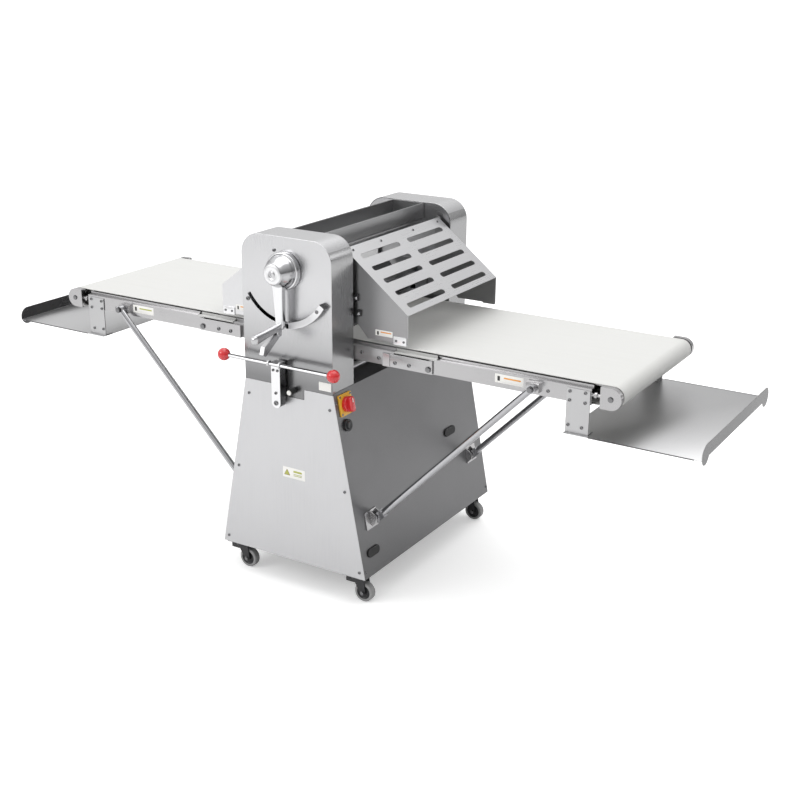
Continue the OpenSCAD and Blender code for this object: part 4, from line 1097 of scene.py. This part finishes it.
def build_tray_rim():
    """Rolled rim round the flour tray's top edge."""
    lo, hi = low("flour_tray"), high("flour_tray")
    inset = 1.6 * MM
    lo, hi = lo + inset, hi - inset
    path = rim_path(lo, hi, high("flour_tray")[2] - 1.2 * MM, 3 * MM)
    make_piece("flour_tray_rim", tube(path, 1.7 * MM, 10), "tray_sheet", "flour_tray")


def build_pan_hems():
    """Rolled hems along the two long edges of each catch pan."""
    floor_z = 667.2 * MM
    inner, outer = 932 * MM, high("right_pan")[0] - 22 * MM
    for side, table in TABLES:
        node = table.replace("_table", "_pan")
        hems = []
        for y in (-299 * MM, 299 * MM):
            path = np.column_stack([side * np.linspace(inner, outer, 8), np.full(8, y), np.full(8, floor_z)])
            hems.append(tube(path, 1.7 * MM, 12))
        # The hems take the darker steel: painted shade along the pans' edges.
        make_piece(f"{node}_hems", joined(*hems), "edge_steel", table)


def build_vent_hoods():
    """Pressed hoods over the rear panel's vents: a half dome stretched along X, open below."""
    hoods = []
    u = np.linspace(-1, 1, 26)[:, None]
    v = np.linspace(0, 1, 7)[None, :]
    for k in range(6):
        z0 = FOOT_Z + (90 + 22 * k) * MM
        swell = np.clip(1 - np.abs(u) ** 6, 0, 1)
        x = 79 * MM * u + 0 * v
        z = z0 + 7 * MM - 11 * MM * v + 0 * u
        y = REAR_Y + 0.2 * MM + 6.5 * MM * swell * np.sin(v * pi / 2)
        verts = np.stack([x, y, z], -1).reshape(-1, 3)
        hoods.append((verts, grid_faces(26, 7)))
    obj = make_piece("rear_vent_hoods", joined(*hoods), "cabinet_front", "cabinet", 50)
    wall = obj.modifiers.new("wall", "SOLIDIFY")
    wall.thickness = 1.0 * MM
    wall.offset = -1


def build_gland():
    """Cable gland on the rear panel: a flanged nut with a domed clamping ring and an open bore."""
    centre = (150 * MM, REAR_Y + 0.05 * MM, FOOT_Z + 60 * MM)
    nut = [(5.2, 21), (9, 21.9), (13, 20), (15, 15), (16, 10), (18, 9.9), (18.6, 9), (18.6, 1), (18, 0),
           (5.2, 0), (5.2, 21)]
    make_piece("cable_gland_nut", turned(nut, centre, (0, 1, 0), 36), "black_plastic", "cabinet")


# ------------------------------------------------------------------ floor and light

def studio_world():
    """White room: the camera sees plain white, and the rest is white overhead, greyer to the right."""
    world = bpy.data.worlds.new("studio")
    bpy.context.scene.world = world
    world.use_nodes = True
    nodes, links = world.node_tree.nodes, world.node_tree.links
    where = nodes.new("ShaderNodeTexCoord")
    split = nodes.new("ShaderNodeSeparateXYZ")
    links.new(where.outputs["Generated"], split.inputs[0])
    rise = math_node(nodes, links, "MULTIPLY", split.outputs["Z"], 1.1, True)
    side = math_node(nodes, links, "MULTIPLY", split.outputs["X"], -0.32)
    level = math_node(nodes, links, "ADD", math_node(nodes, links, "MULTIPLY", rise, 0.75), 0.42)
    level = math_node(nodes, links, "ADD", level, side)
    lightpath = nodes.new("ShaderNodeLightPath")
    mix = nodes.new("ShaderNodeMix")
    mix.data_type = "FLOAT"
    links.new(lightpath.outputs["Is Camera Ray"], mix.inputs["Factor"])
    links.new(level, mix.inputs["A"])
    mix.inputs["B"].default_value = 1.0
    background = nodes["Background"]
    background.inputs["Color"].default_value = (1, 1, 1, 1)
    links.new(mix.outputs["Result"], background.inputs["Strength"])


def build_stage():
    """Plain pale floor, a large soft key from the operator's left, an overhead and a weak rim light."""
    floor = bpy.data.meshes.new("floor")
    half = 300
    corners = [(-half, -half, 0), (half, -half, 0), (half, half, 0), (-half, half, 0)]
    floor.from_pydata(corners, [], [(0, 1, 2, 3)])
    obj = bpy.data.objects.new("floor", floor)
    bpy.context.scene.collection.objects.link(obj)
    nodes, links, shader = start_material("pale_floor", (0.90, 0.90, 0.90), 0.0, 0.8)
    shader.inputs["Emission Color"].default_value = (1, 1, 1, 1)
    seen = nodes.new("ShaderNodeLightPath")
    glow = math_node(nodes, links, "MULTIPLY", seen.outputs["Is Camera Ray"], 0.36)
    links.new(glow, shader.inputs["Emission Strength"])
    floor.materials.append(MATERIALS["pale_floor"])
    studio_world()
    for name, place, aim, size, power in (
            ("key", (-3.0, -4.6, 3.4), (0, 0, 0.7), 2.4, 72),
            ("overhead", (0.2, 0.6, 5.0), (0, 0, 0.5), 5.0, 112),
            ("edge", (3.6, 3.4, 2.4), (0, 0, 0.8), 1.2, 14)):
        data = bpy.data.lights.new(name, "AREA")
        data.energy = power
        data.size = size
        lamp = bpy.data.objects.new(name, data)
        lamp.location = place
        lamp.rotation_euler = (Vector(aim) - Vector(place)).to_track_quat("-Z", "Y").to_euler()
        bpy.context.scene.collection.objects.link(lamp)
    bpy.context.scene.view_settings.view_transform = "Standard"


finish_cad_pieces()
belt_loop("right_conveyor_belt", 1, "right_belt")
belt_loop("left_conveyor_belt", -1, "left_belt")
build_edge_seals()
build_gap_lever()
build_scale_marks()
build_direction_lever()
build_controls()
build_labels()
build_fasteners()
build_guard_trim()
build_castors()
build_tray_rim()
build_pan_hems()
build_vent_hoods()
build_gland()
build_stage()
